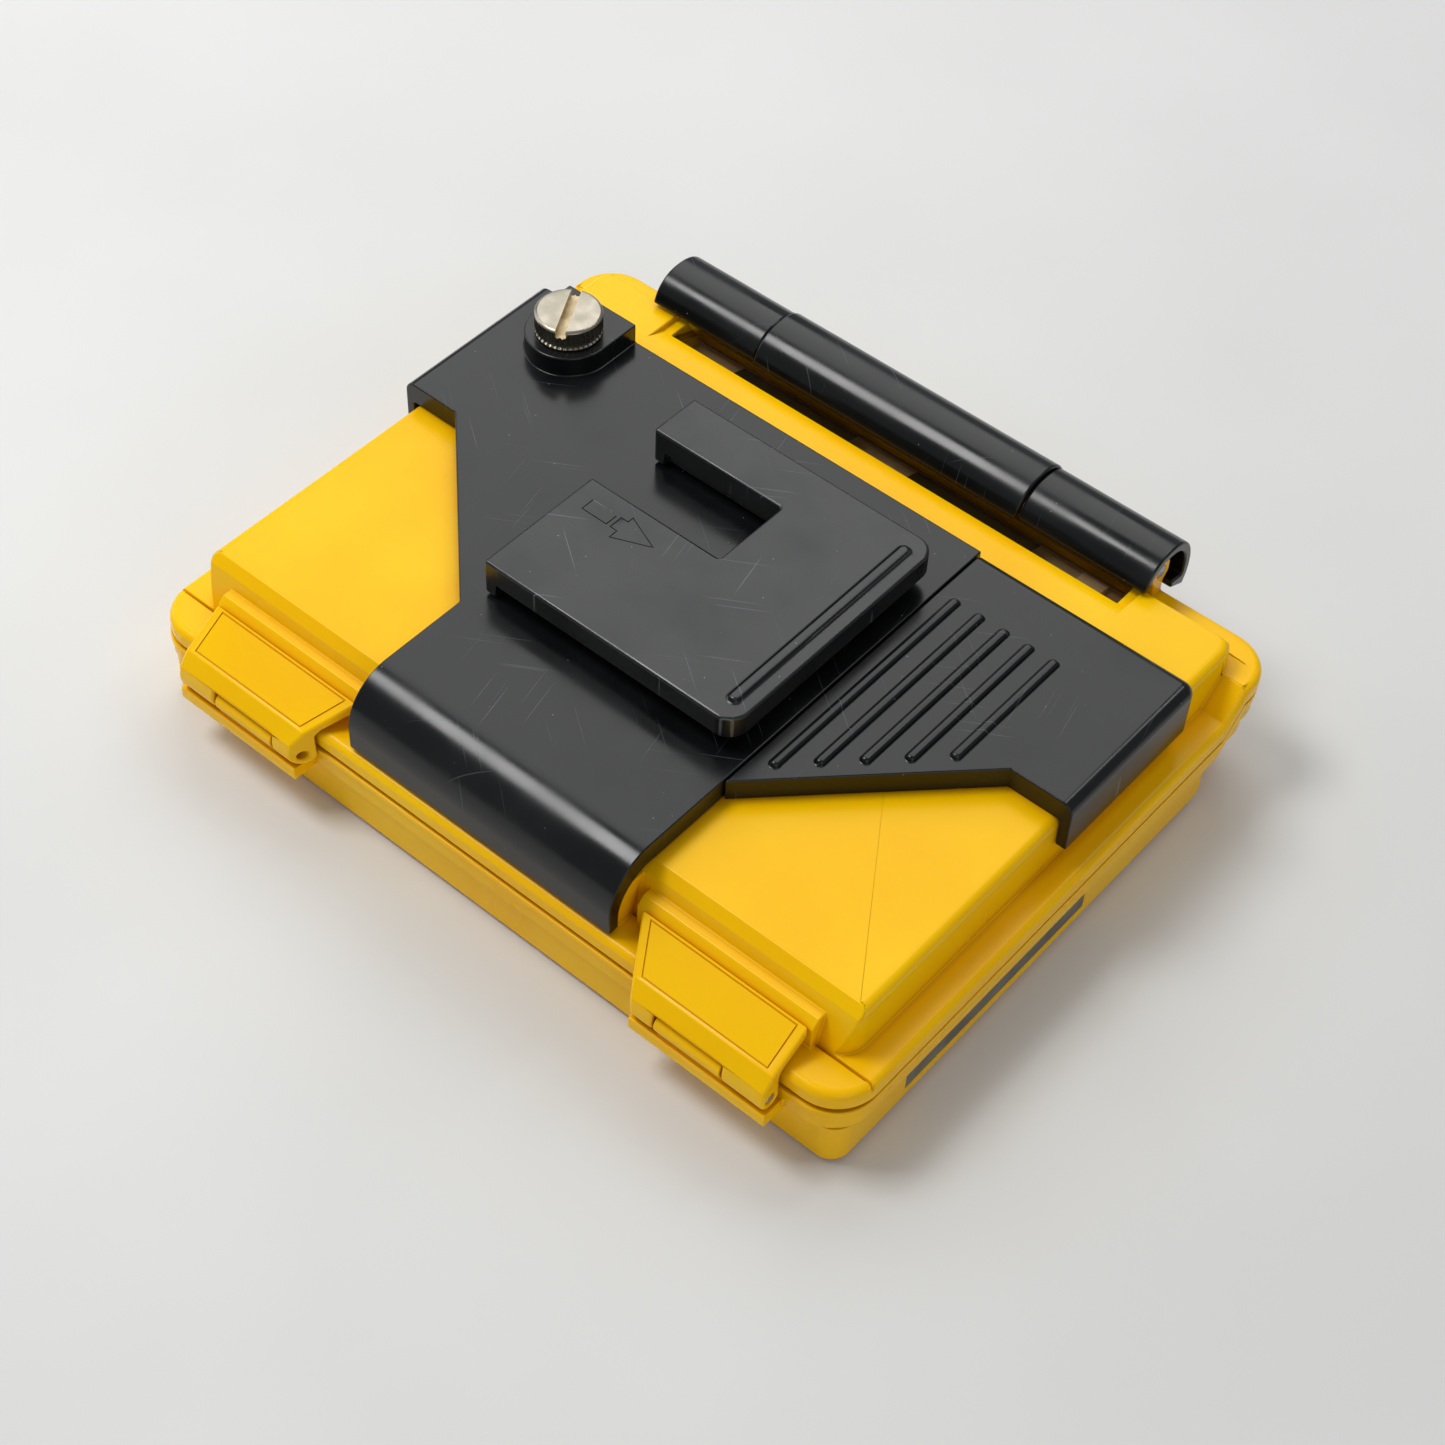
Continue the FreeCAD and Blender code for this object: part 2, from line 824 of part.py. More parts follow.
def case_lugs(body):
    """Add the four hinge lugs and drill them for the pin."""
    starts = (
        "-bar_left + lug_inset",
        "-seam_left - lug_thick / 2",
        "seam_right - lug_thick / 2",
        "bar_right - lug_inset - lug_thick",
    )
    for start in starts:
        add_prism(body, "YZ", lug_outline(), start, start + " + lug_thick")
    cut_drum(body, "YZ", "hinge_y", "hinge_z", "pin_radius", "-bar_left", "bar_right")


def button_centres():
    """Return the Y positions of the four push buttons."""
    return ["-button_first + %d * button_pitch" % number for number in range(4)]


def knob_centres():
    """Return the Y positions of the two thumb wheels."""
    return ["-knob_y + %d * knob_step" % number for number in range(2)]


def case_windows(body):
    """Cut the holes of the side wall for buttons, wheels and the socket."""
    outside = "-back_half - case_wall"
    inside = "-back_half + case_wall + seat_gap"
    for y in button_centres():
        hole = rect(
            "%s - button_half - slip_gap" % y,
            "%s + button_half + slip_gap" % y,
            "button_foot - slip_gap",
            "button_foot + button_tall + slip_gap",
        )
        cut_prism(body, "YZ", hole, outside, inside)
    for y in knob_centres():
        slot = rect(
            "%s - knob_slot_half" % y,
            "%s + knob_slot_half" % y,
            "knob_foot - swing_gap",
            "knob_foot + knob_thick + swing_gap",
        )
        cut_prism(body, "YZ", slot, outside, inside)
    cut_drum(body, "YZ", "jack_y", "jack_foot + jack_tall / 2", "jack_nose + touch_gap", outside, inside)


def make_rear_case():
    """Build the yellow rear case."""
    body = new_body("RearCase")
    case_shell(body)
    case_bay(body)
    case_dial(body)
    case_lugs(body)
    case_windows(body)
    finish(body, "rear_case")


def lid_shell(body):
    """Build the box of the lid with its stepped rim and its hollow."""
    profile = [
        ("-body_front", "ground"),
        ("lid_belly_foot", "ground"),
        ("lid_belly_back", "lid_belly_lift"),
        ("lid_belly_back", "lid_belly_top"),
        ("lid_shelf_front", "lid_shelf_under"),
        ("lid_back", "lid_shelf_under"),
        ("lid_back", "lid_height + step_rise"),
        ("step_start + step_run", "lid_height + step_rise"),
        ("step_start", "lid_height"),
        ("-body_front", "lid_height"),
    ]
    add_prism(body, "YZ", profile, "-body_half", "body_half")
    half, front, back = value("body_half"), value("body_front"), value("lid_back")
    for radius, wall in (("lid_corner", back), ("lid_foot_corner", -front)):
        round_edges(
            body,
            radius,
            lambda edge: stands(edge)
            and near(abs(edge.CenterOfMass.x), half)
            and near(edge.CenterOfMass.y, wall),
        )
    round_edges(
        body,
        "lid_foot_round",
        lambda edge: near(edge.CenterOfMass.z, 0) and edge.CenterOfMass.y < value("lid_belly_foot") - 1,
    )
    add_lid_band(body, "ground", "lid_band_tall")
    add_lid_band(body, "lid_lip_out", "lid_lip_tall")
    hollow = [
        ("-lid_front + lid_wall", "lid_floor"),
        ("lid_belly_foot - lid_wall / 2", "lid_floor"),
        ("lid_belly_back - lid_wall", "lid_belly_top + lid_wall"),
        ("lid_shelf_front - lid_wall / 2", "lid_shelf_under + lid_wall"),
        ("lid_back - lid_wall", "lid_shelf_under + lid_wall"),
        ("lid_back - lid_wall", "back_level"),
        ("-lid_front + lid_wall", "back_level"),
    ]
    cut_prism(body, "YZ", hollow, "-lid_half + lid_wall", "lid_half - lid_wall")


def add_lid_band(body, out, tall):
    """Add a band with rounded corners round the top of the lid."""
    ring = stepped_band("lid_front + " + out, "lid_back", "lid_height - " + tall, "lid_height")
    add_prism(body, "YZ", ring, "-lid_half - " + out, "lid_half + " + out)
    half, front, back = value("lid_half + " + out), value("lid_front + " + out), value("lid_back")
    round_edges(
        body,
        "lid_corner + " + out,
        lambda edge: near(abs(edge.CenterOfMass.x), half)
        and edge.BoundBox.YLength < 0.01
        and edge.BoundBox.XLength < 0.01
        and (near(edge.CenterOfMass.y, -front) or near(edge.CenterOfMass.y, back)),
    )


def lid_fittings(body):
    """Add the latch shelves, hinge arms, window seat and label recess of the lid."""
    for sign in (-1, 1):
        shelf = sorted(["%d * shelf_inner" % sign, "%d * shelf_outer" % sign], key=value)
        plan = rect(shelf[0], shelf[1], "-shelf_front", "-lid_front + lid_wall - slip_gap")
        add_prism(body, "XY", plan, "shelf_level - shelf_thick", "shelf_level")
        ends = ["%d * (latch_notch_in + swing_gap)" % sign, "%d * (latch_notch_out - swing_gap)" % sign]
        ends.sort(key=value)
        root = "-lid_front + lid_wall - slip_gap"
        web = rect("-latch_pin_y - latch_eye / 2", root, "shelf_level - slip_gap", "latch_pin_z")
        add_prism(body, "YZ", web, ends[0], ends[1])
        add_drum(body, "YZ", "-latch_pin_y", "latch_pin_z", "latch_eye", ends[0], ends[1])
        cut_drum(body, "YZ", "-latch_pin_y", "latch_pin_z", "latch_pin", ends[0], ends[1])
    for start in ("-arm_left_x", "arm_right_x"):
        end = start + " + arm_long"
        arm_back = "case_back + swing_gap + arm_skin"
        foot = rect("lid_back - lid_wall / 2", arm_back, "arm_foot", "lid_height + step_rise - slip_gap")
        add_prism(body, "YZ", foot, start, end)
        arm = rect("case_back + swing_gap", arm_back, "arm_foot", "hinge_z")
        add_prism(body, "YZ", arm, start, end)
        add_drum(body, "YZ", "hinge_y", "hinge_z", "knuckle_radius", start, end)
        cut_drum(body, "YZ", "hinge_y", "hinge_z", "pin_radius + slip_gap / 2", start, end)
    rim = "window_rim"
    across = ("-window_half + " + rim, "window_half - " + rim)
    opening = rect(across[0], across[1], "-window_front + " + rim, "window_back - " + rim)
    cut_prism(body, "XY", opening, "ground", "lid_floor")
    seat = rect("-window_half", "window_half", "-window_front", "window_back")
    cut_prism(body, "XY", seat, "window_recess", "lid_floor")
    label = rect("-label_front", "label_back", "label_foot", "label_top")
    cut_prism(body, "YZ", label, "body_half - label_thick - slip_gap", "lid_half + lid_lip_out")


def make_front_lid():
    """Build the yellow cassette lid."""
    body = new_body("FrontLid")
    lid_shell(body)
    lid_fittings(body)
    finish(body, "front_lid")


def make_gasket():
    """Build the rubber ring that closes the gap between the lid and the case."""
    body = new_body("Gasket")
    front, back, side = "lid_front - gasket_inset", "lid_back - gasket_inset", "lid_half - gasket_inset"
    band = stepped_band(front, back, "lid_height + touch_gap", "lid_height + split_gap")
    add_prism(body, "YZ", band, "-(%s)" % side, side)
    half, front_y, back_y = value(side), value(front), value(back)
    round_edges(
        body,
        "lid_corner - gasket_inset",
        lambda edge: near(abs(edge.CenterOfMass.x), half)
        and edge.BoundBox.YLength < 0.01
        and edge.BoundBox.XLength < 0.01
        and (near(edge.CenterOfMass.y, -front_y) or near(edge.CenterOfMass.y, back_y)),
    )
    x, low, high = "%s - gasket_wide" % side, "-(%s) + gasket_wide" % front, "%s - gasket_wide" % back
    nip = "lid_corner / 2"
    inner = [
        ("-(%s) + %s" % (x, nip), low),
        ("%s - %s" % (x, nip), low),
        (x, "%s + %s" % (low, nip)),
        (x, "%s - %s" % (high, nip)),
        ("%s - %s" % (x, nip), high),
        ("-(%s) + %s" % (x, nip), high),
        ("-(%s)" % x, "%s - %s" % (high, nip)),
        ("-(%s)" % x, "%s + %s" % (low, nip)),
    ]
    cut_prism(body, "XY", inner, "ground", "cover_level")
    finish(body, "case_gasket")


def make_battery_cover():
    """Build the black battery cover with its arm, tongue, screw pad and clip rails."""
    body = new_body("BatteryCover")
    under = "back_level + seat_gap"
    plate = [
        ("-cover_half", "cover_back"),
        ("-cover_half", "arm_front"),
        ("-cut_outer", "arm_front"),
        ("-tongue_half", "arm_front - cut_drop"),
        ("-tongue_half", "-nose_front + tongue_bend - slip_gap"),
        ("tongue_half", "-nose_front + tongue_bend - slip_gap"),
        ("tongue_half", "cover_back"),
    ]
    add_prism(body, "XY", plate, under, "cover_level")
    tongue = [
        ("-nose_front + tongue_bend", under),
        ("-nose_front + tongue_bend", "cover_level"),
        ("-tongue_front", "cover_level"),
        ("-tongue_front", "tongue_foot"),
        ("-tongue_front + tongue_skin", "tongue_foot"),
        ("-tongue_front + tongue_skin", under),
    ]
    add_prism(body, "YZ", tongue, "-tongue_half", "tongue_half")
    front, skin = value("tongue_front"), value("tongue_skin")
    top, low = value("cover_level"), value(under)
    round_edges(
        body,
        "tongue_bend",
        lambda edge: near(edge.CenterOfMass.y, -front) and near(edge.CenterOfMass.z, top),
    )
    round_edges(
        body,
        "tongue_bend - tongue_skin",
        lambda edge: near(edge.CenterOfMass.y, -front + skin) and near(edge.CenterOfMass.z, low),
    )
    arm = rect("-cover_half", "-back_half - seat_gap", "arm_front", "cover_back")
    add_prism(body, "XY", arm, "wrap_foot", "cover_level - wrap_round")
    side = value("cover_half")
    round_edges(
        body,
        "wrap_round",
        lambda edge: near(edge.CenterOfMass.x, -side) and near(edge.CenterOfMass.z, top),
    )
    pad_top = "cover_level + pad_rise"
    middle_plate = "cover_level - seat_gap"
    add_drum(body, "XY", "-screw_x", "screw_y", "pad_radius", middle_plate, pad_top)
    pad = rect("-screw_x - pad_radius", "-screw_x + pad_radius", "screw_y", "cover_back")
    add_prism(body, "XY", pad, middle_plate, pad_top)
    cut_drum(body, "XY", "-screw_x", "screw_y", "shank_radius + seat_gap", under, pad_top)
    room = rect("-bay_left", "bay_right", "bay_front - seat_gap", "bay_back")
    cut_prism(body, "XY", room, under, "bay_roof")
    for y, turn in ((rail_line("1"), "1"), (rail_line("-1"), "-1")):
        stem = rect("-rail_half_long", "rail_half_long", "%s - rail_stem / 2" % y, "%s + rail_stem / 2" % y)
        add_prism(body, "XY", stem, middle_plate, "rail_head_level + slip_gap")
        head = rect("-rail_half_long", "rail_half_long", "%s - rail_head / 2" % y, "%s + rail_head / 2" % y)
        add_prism(body, "XY", head, "rail_head_level", "rail_top")
    finish(body, "battery_cover")


def rail_line(sign):
    """Return the Y position of one clip rail."""
    return "rail_shift + %s * rail_y" % sign


def make_side_cover():
    """Build the fixed black cover beside the battery cover, with its ribs."""
    body = new_body("SideCover")
    under = "back_level"
    left = "cover_joint + joint_gap"
    plate = [
        (left, "cover_back"),
        (left, "arm_front - cut_drop"),
        ("cut_outer", "arm_front"),
        ("cover_half", "arm_front"),
        ("cover_half", "cover_back"),
    ]
    add_prism(body, "XY", plate, under, "cover_level")
    side, back, top = value("cover_half"), value("cover_back"), value("cover_level")
    wrap = rect("back_half + touch_gap", "cover_half", "arm_front", "cover_back")
    add_prism(body, "XY", wrap, "wrap_foot", "cover_level")
    round_edges(
        body,
        "cover_corner / 2",
        lambda edge: near(edge.CenterOfMass.x, side) and near(edge.CenterOfMass.y, back),
    )
    round_edges(
        body,
        "wrap_round",
        lambda edge: near(edge.CenterOfMass.z, top) and near(edge.CenterOfMass.x, side),
    )
    for number in range(int(value("rib_count"))):
        x = "rib_first + %d * rib_pitch" % number
        start = "-rib_front + %d * rib_step" % number
        rib = rect("%s - rib_wide / 2" % x, "%s + rib_wide / 2" % x, start, "rib_back")
        add_prism(body, "XY", rib, "cover_level - seat_gap", "cover_level + rib_tall")
    rib_top = value("cover_level + rib_tall")
    rib_middle = value("cover_level + rib_tall / 2")
    round_edges(
        body,
        "rib_wide / 2 - touch_gap",
        lambda edge: stands(edge) and near(edge.CenterOfMass.z, rib_middle),
    )
    round_edges(
        body,
        "rib_tall - touch_gap",
        lambda edge: near(edge.BoundBox.ZMin, rib_top),
    )
    finish(body, "side_cover")


def make_hinge_cover(label, left, right):
    """Build one fixed outer segment of the black hinge bar."""
    body = new_body("HingeCover")
    skin = "bar_skin"
    rear = "bar_round_y + bar_round"
    roof = "bar_top - " + skin
    outline = [
        ("bar_front", "bar_front_foot"),
        ("bar_front", "bar_top + bar_lip_drop"),
        ("bar_round_y", "bar_top"),
        (rear, "bar_top"),
        (rear, "bar_round_z"),
        ("hook_out_y", "hook_out_z"),
        ("hook_in_y", "hook_in_z"),
        ("hook_in_y", "hook_in_z + %s * hook_share" % skin),
        (rear + " - " + skin, "bar_round_z - " + skin),
        (rear + " - " + skin, roof),
        ("bar_front + " + skin, roof),
        ("bar_front + " + skin, "bar_front_foot"),
    ]
    add_prism(body, "YZ", outline, left, right)
    y, top, low = value(rear), value("bar_top"), value(roof)
    thick = value(skin)
    round_edges(
        body,
        "bar_round - slip_gap",
        lambda edge: near(edge.CenterOfMass.y, y) and near(edge.CenterOfMass.z, top),
    )
    round_edges(
        body,
        "bar_round - " + skin,
        lambda edge: near(edge.CenterOfMass.y, y - thick) and near(edge.CenterOfMass.z, low),
    )
    round_brow(body, value("bar_front"), value("bar_top + bar_lip_drop"), low)
    cut_bar_end(body, left, right)
    finish(body, label)


def round_brow(body, front, crest, low):
    """Round the bar's front edge outside and inside."""
    thick = value("bar_skin")
    round_edges(
        body,
        "bar_brow",
        lambda edge: near(edge.CenterOfMass.y, front) and near(edge.CenterOfMass.z, crest),
    )
    round_edges(
        body,
        "bar_brow - bar_skin",
        lambda edge: near(edge.CenterOfMass.y, front + thick) and near(edge.CenterOfMass.z, low),
    )


def cut_bar_end(body, left, right):
    """Round the free end of a bar segment in plan with three short facets."""
    end, sign = (left, "1") if value(left + " + bar_left") < value("touch_gap") else (right, "-1")
    facets = [
        (end, "bar_front + bar_end_out"),
        ("%s + %s * bar_end_in" % (end, sign), "bar_front + bar_end_mid"),
        ("%s + %s * bar_end_mid" % (end, sign), "bar_front + bar_end_in"),
        ("%s + %s * bar_end_out" % (end, sign), "bar_front"),
        ("%s + %s * bar_end_out" % (end, sign), "bar_front - slip_gap"),
        ("%s - %s * slip_gap" % (end, sign), "bar_front - slip_gap"),
        ("%s - %s * slip_gap" % (end, sign), "bar_front + bar_end_out"),
    ]
    cut_prism(body, "XY", facets, "bar_round_z", "bar_top + bar_brow")


def make_hinge_cover_centre():
    """Build the middle segment of the bar, open at the back for the lid arms."""
    body = new_body("HingeCoverCentre")
    swell, skin = "bar_swell", "bar_skin"
    front = "bar_front - " + swell
    top = "bar_top + " + swell
    rear = "bar_round_y + bar_round + " + swell
    inner_rear = "%s - %s" % (rear, skin)
    inner_top = "%s - %s" % (top, skin)
    outline = [
        (front, "bar_front_foot - bar_lip_drop"),
        (front, top + " + bar_lip_drop"),
        ("bar_round_y", top),
        (rear, top),
        (rear, "bar_round_z"),
        (inner_rear, "bar_round_z"),
        (inner_rear, inner_top),
        (front + " + " + skin, inner_top),
        (front + " + " + skin, "bar_front_foot - bar_lip_drop"),
    ]
    left, right = "-seam_left + bar_seam_gap / 2", "seam_right - bar_seam_gap / 2"
    add_prism(body, "YZ", outline, left, right)
    y, crown = value(rear), value(top)
    inner_y, inner_z = value(inner_rear), value(inner_top)
    round_edges(
        body,
        "bar_round - slip_gap + " + swell,
        lambda edge: near(edge.CenterOfMass.y, y) and near(edge.CenterOfMass.z, crown),
    )
    round_edges(
        body,
        "bar_round + %s - %s - slip_gap" % (swell, skin),
        lambda edge: near(edge.CenterOfMass.y, inner_y) and near(edge.CenterOfMass.z, inner_z),
    )
    round_brow(body, value(front), value(top + " + bar_lip_drop"), inner_z)
    mouth = rect("bar_round_y", rear + " + seat_gap", "bar_round_z - seat_gap", "bar_centre_foot")
    cut_prism(body, "YZ", mouth, left, right)
    finish(body, "hinge_cover_centre")


def make_latch(label, sign):
    """Build one latch, hinged at its foot on the lid."""
    body = new_body("Latch")
    profile = [
        ("-latch_tip_y", "latch_tip_z"),
        ("-latch_edge_y", "latch_edge_z"),
        ("-latch_face_y", "latch_face_z"),
        ("-latch_front", "latch_pin_z + latch_eye / 2"),
        ("-latch_front", "latch_pin_z"),
        ("-latch_pin_y + latch_eye - touch_gap", "latch_pin_z"),
        ("-latch_back", "latch_back_top"),
        ("-latch_roof_y", "latch_roof_z"),
        ("-latch_tip_y", "latch_tip_under"),
    ]
    ends = sorted(["%d * latch_inner_top" % sign, "%d * latch_outer" % sign], key=value)
    add_prism(body, "YZ", profile, ends[0], ends[1])
    add_drum(body, "YZ", "-latch_pin_y", "latch_pin_z", "latch_eye", ends[0], ends[1])
    slant = [
        ("%d * latch_inner_top" % sign, "-latch_tip_y"),
        ("%d * latch_inner_foot" % sign, "-latch_front"),
        ("%d * latch_inner_foot" % sign, "-latch_front - pin_radius"),
        ("%d * (latch_inner_top - pin_radius)" % sign, "-latch_front - pin_radius"),
        ("%d * (latch_inner_top - pin_radius)" % sign, "-latch_tip_y"),
    ]
    cut_prism(body, "XY", slant, "shelf_level", "back_level")
    notch = sorted(["%d * latch_notch_in" % sign, "%d * latch_notch_out" % sign], key=value)
    gap = rect(notch[0], notch[1], "-latch_front - pin_radius", "-latch_roof_y")
    cut_prism(body, "XY", gap, "shelf_level", "latch_notch_top")
    cut_drum(body, "YZ", "-latch_pin_y", "latch_pin_z", "latch_pin + touch_gap", ends[0], ends[1])
    finish(body, label)


def make_belt_clip():
    """Build the belt clip with its notch, lip, bead and rail hooks."""
    body = new_body("BeltClip")
    slab = rect("-clip_half", "clip_half", "-clip_front", "clip_back")
    add_prism(body, "XY", slab, "clip_under", "clip_level")
    half = value("clip_half")
    round_edges(
        body,
        "clip_corner",
        lambda edge: stands(edge) and near(edge.CenterOfMass.x, half),
    )
    lip = rect("-clip_half", "-clip_half + clip_lip_wide", "-clip_front", "clip_back")
    add_prism(body, "XY", lip, "clip_under - clip_lip_tall", "clip_under + seat_gap")
    bead = rect(
        "clip_bead_x - clip_bead_wide / 2",
        "clip_bead_x + clip_bead_wide / 2",
        "-clip_front + clip_bead_end",
        "clip_back - clip_bead_end",
    )
    add_prism(body, "XY", bead, "clip_level - seat_gap", "clip_level + clip_bead_tall")
    bead_top = value("clip_level + clip_bead_tall")
    bead_middle = value("clip_level + clip_bead_tall / 2")
    round_edges(
        body,
        "clip_bead_wide / 2 - touch_gap",
        lambda edge: stands(edge) and near(edge.CenterOfMass.z, bead_middle),
    )
    round_edges(
        body,
        "clip_bead_tall - touch_gap",
        lambda edge: near(edge.BoundBox.ZMin, bead_top),
    )
    for sign in ("1", "-1"):
        y = rail_line(sign)
        near_side = "%s + %s * (rail_head / 2 + slip_gap)" % (y, sign)
        far_side = "%s + %s * (rail_head / 2 + slip_gap + hook_wide)" % (y, sign)
        toe = "%s + %s * (rail_head / 2 - hook_reach)" % (y, sign)
        leg_ends = sorted([near_side, far_side], key=value)
        toe_ends = sorted([toe, far_side], key=value)
        leg = rect("-rail_half_long", "rail_half_long", leg_ends[0], leg_ends[1])
        add_prism(body, "XY", leg, "hook_foot", "clip_under + seat_gap")
        foot = rect("-rail_half_long", "rail_half_long", toe_ends[0], toe_ends[1])
        add_prism(body, "XY", foot, "hook_foot", "rail_head_level - slip_gap * 2")
    for sign in ("1", "-1"):
        y = rail_line(sign)
        gate = rect(
            "-clip_half - slip_gap",
            "-clip_half + clip_lip_wide + slip_gap",
            "%s - rail_head / 2 - seat_gap" % y,
            "%s + rail_head / 2 + seat_gap" % y,
        )
        cut_prism(body, "XY", gate, "cover_level", "clip_under")
    notch = rect("-clip_half - slip_gap", "clip_notch_right", "-clip_notch_front", "clip_notch_back")
    cut_prism(body, "XY", notch, "cover_level", "clip_level + seat_gap")
    wall_front = "clip_notch_back + clip_wall_set"
    wall = rect("-clip_half", "clip_notch_right", wall_front, wall_front + " + clip_wall_thick")
    add_prism(body, "XY", wall, "hook_foot", "clip_under + seat_gap")
    finish(body, "belt_clip")


def make_coin_screw():
    """Build the knurled coin screw with its slot and its ring groove."""
    head = drum("Z", ("middle", "middle"), "head_radius", "ground", "head_tall")
    shank = drum("Z", ("middle", "middle"), "shank_radius", "-shank_long", "slip_gap")
    slot = block(
        ("-head_radius - slip_gap", "head_radius + slip_gap"),
        ("-slot_wide / 2", "slot_wide / 2"),
        ("head_tall - slot_deep", "head_tall + slip_gap"),
    )
    ring_level = "insert_foot + insert_tall + touch_gap - screw_seat"
    groove_outer = drum("Z", ("middle", "middle"), "ring_radius", ring_level, ring_level + " + ring_thick")
    groove_inner = drum("Z", ("middle", "middle"), "ring_groove", ring_level, ring_level + " + ring_thick")
    groove = carve(groove_outer, [groove_inner])
    screw = carve(join([head, shank]), [slot, groove])
    screw.setExpression("Placement.Rotation.Angle", link("slot_turn * 1 deg"))
    finish(screw, "coin_screw", "-screw_x", "screw_y", "screw_seat")


def make_ring():
    """Build the ring that keeps the coin screw in the cover."""
    outer = drum("Z", ("middle", "middle"), "ring_radius", "ground", "ring_thick")
    inner = drum("Z", ("middle", "middle"), "ring_groove", "-slip_gap", "ring_thick + slip_gap")
    level = "insert_foot + insert_tall + touch_gap"
    finish(carve(outer, [inner]), "retaining_ring", "-screw_x", "screw_y", level)


def make_insert():
    """Build the brass insert that takes the coin screw."""
    outer = drum("Z", ("middle", "middle"), "insert_radius", "ground", "insert_tall")
    bore = drum("Z", ("middle", "middle"), "shank_radius + slip_gap", "-slip_gap", "insert_tall + slip_gap")
    finish(carve(outer, [bore]), "screw_insert", "-screw_x", "screw_y", "insert_foot")


def make_cover_seal():
    """Build the rubber seal round the battery bay."""
    body = new_body("CoverSeal")
    low = "back_level - seal_bite"
    sketch = new_sketch(body, "XY", low)
    draw_outline(sketch, seal_outline("0"))
    draw_outline(sketch, seal_outline("seal_wide"))
    extrude(body, sketch, "Pad", low, "back_level + seat_gap - touch_gap")
    finish(body, "cover_seal")


def make_hinge_pin():
    """Build the steel hinge pin."""
    pin = drum("X", ("middle", "ground"), "pin_radius", "-bar_left + lug_inset", "bar_right - lug_inset")
    finish(pin, "hinge_pin", "-bar_left + lug_inset", "hinge_y", "hinge_z")


def make_latch_pins():
    """Build the two steel pins of the latches."""
    pins = []
    for sign in (-1, 1):
        ends = ["%d * (latch_inner_foot + slip_gap)" % sign, "%d * (latch_outer - slip_gap)" % sign]
        ends.sort(key=value)
        pins.append(drum("X", ("middle", "ground"), "latch_pin", ends[0], ends[1]))
    finish(join(pins), "latch_pins", "middle", "-latch_pin_y", "latch_pin_z")


def make_dial_window():
    """Build the smoked pane over the dial."""
    body = new_body("DialWindow")
    slope = "(pane_front_z - pane_back_z) / (pane_seat_back - pit_rim)"
    low_front = "pane_front_z - touch_gap * %s" % slope
    low_back = "pane_front_z - (pane_back - pit_rim) * %s" % slope
    outline = [
        ("pit_rim + touch_gap", low_front),
        ("pane_back", low_back),
        ("pane_back", low_back + " + pane_thick"),
        ("pit_rim + touch_gap", low_front + " + pane_thick"),
    ]
    wide = "pit_half + pane_ledge - touch_gap"
    add_prism(body, "YZ", outline, "-(%s)" % wide, wide)
    finish(body, "dial_window")


def make_dial_plate():
    """Build the dial plate at the bottom of the pit."""
    plate = block(
        ("-pit_half + touch_gap", "pit_half - touch_gap"),
        ("ground", "pit_back - pit_front - touch_gap * 2"),
        ("ground", "plate_thick"),
    )
    finish(join([plate]), "dial_plate", "-pit_half + touch_gap", "pit_front + touch_gap", "pit_floor")


def make_dial_pointer():
    """Build the sliding pointer of the dial."""
    flag = block(("ground", "pointer_half * 2"), ("ground", "pointer_deep"), ("ground", "pointer_tall"))
    level = "pit_floor + plate_thick + slip_gap"
    finish(flag, "dial_pointer", "pointer_start - pointer_half", "pointer_front", level)


def make_deck_plate():
    """Build the steel deck plate with its openings."""
    level = ("deck_level", "deck_level + deck_thick")
    through = ("deck_level - slip_gap", "deck_level + deck_thick + slip_gap")
    plate = block(("-deck_half", "deck_half"), ("-deck_front", "deck_back"), level)
    gap = "bay_skin + swing_gap"
    tools = [
        block(
            ("-bay_left - (%s)" % gap, "bay_right + " + gap),
            ("bay_front - (%s)" % gap, "bay_back + " + gap),
            through,
        )
    ]
    for x, y in four_screws():
        tools.append(drum("Z", (x, y), "screw_radius + slip_gap", through[0], through[1]))
    for x in ("-reel_x", "reel_x"):
        tools.append(drum("Z", (x, "-reel_y"), "reel_hole", through[0], through[1]))
    tools.append(drum("Z", ("capstan_x", "-capstan_y"), "capstan_hole", through[0], through[1]))
    finish(carve(plate, tools), "deck_plate")


def make_case_screws():
    """Build the four screws that hold the deck plate in the case."""
    solids = []
    for x, y in four_screws():
        solids.append(drum("Z", (x, y), "screw_head", "-screw_head_tall", "ground"))
        solids.append(drum("Z", (x, y), "screw_radius", "-touch_gap", "screw_long"))
    finish(join(solids), "case_screws", "middle", "middle", "deck_level")


def make_cell(label, row):
    """Build one battery cell lying along the hinge direction."""
    can = drum("X", ("ground", "ground"), "cell_radius", "ground", "cell_long - cell_nub")
    nub = drum("X", ("ground", "ground"), "cell_nub_radius", "ground", "cell_long")
    start = "(bay_right - bay_left - cell_long) / 2"
    y = "(bay_front + bay_back) / 2 + (%s) * cell_pitch / 2" % row
    finish(join([can, nub]), label, start, y, "bay_floor + cell_radius")


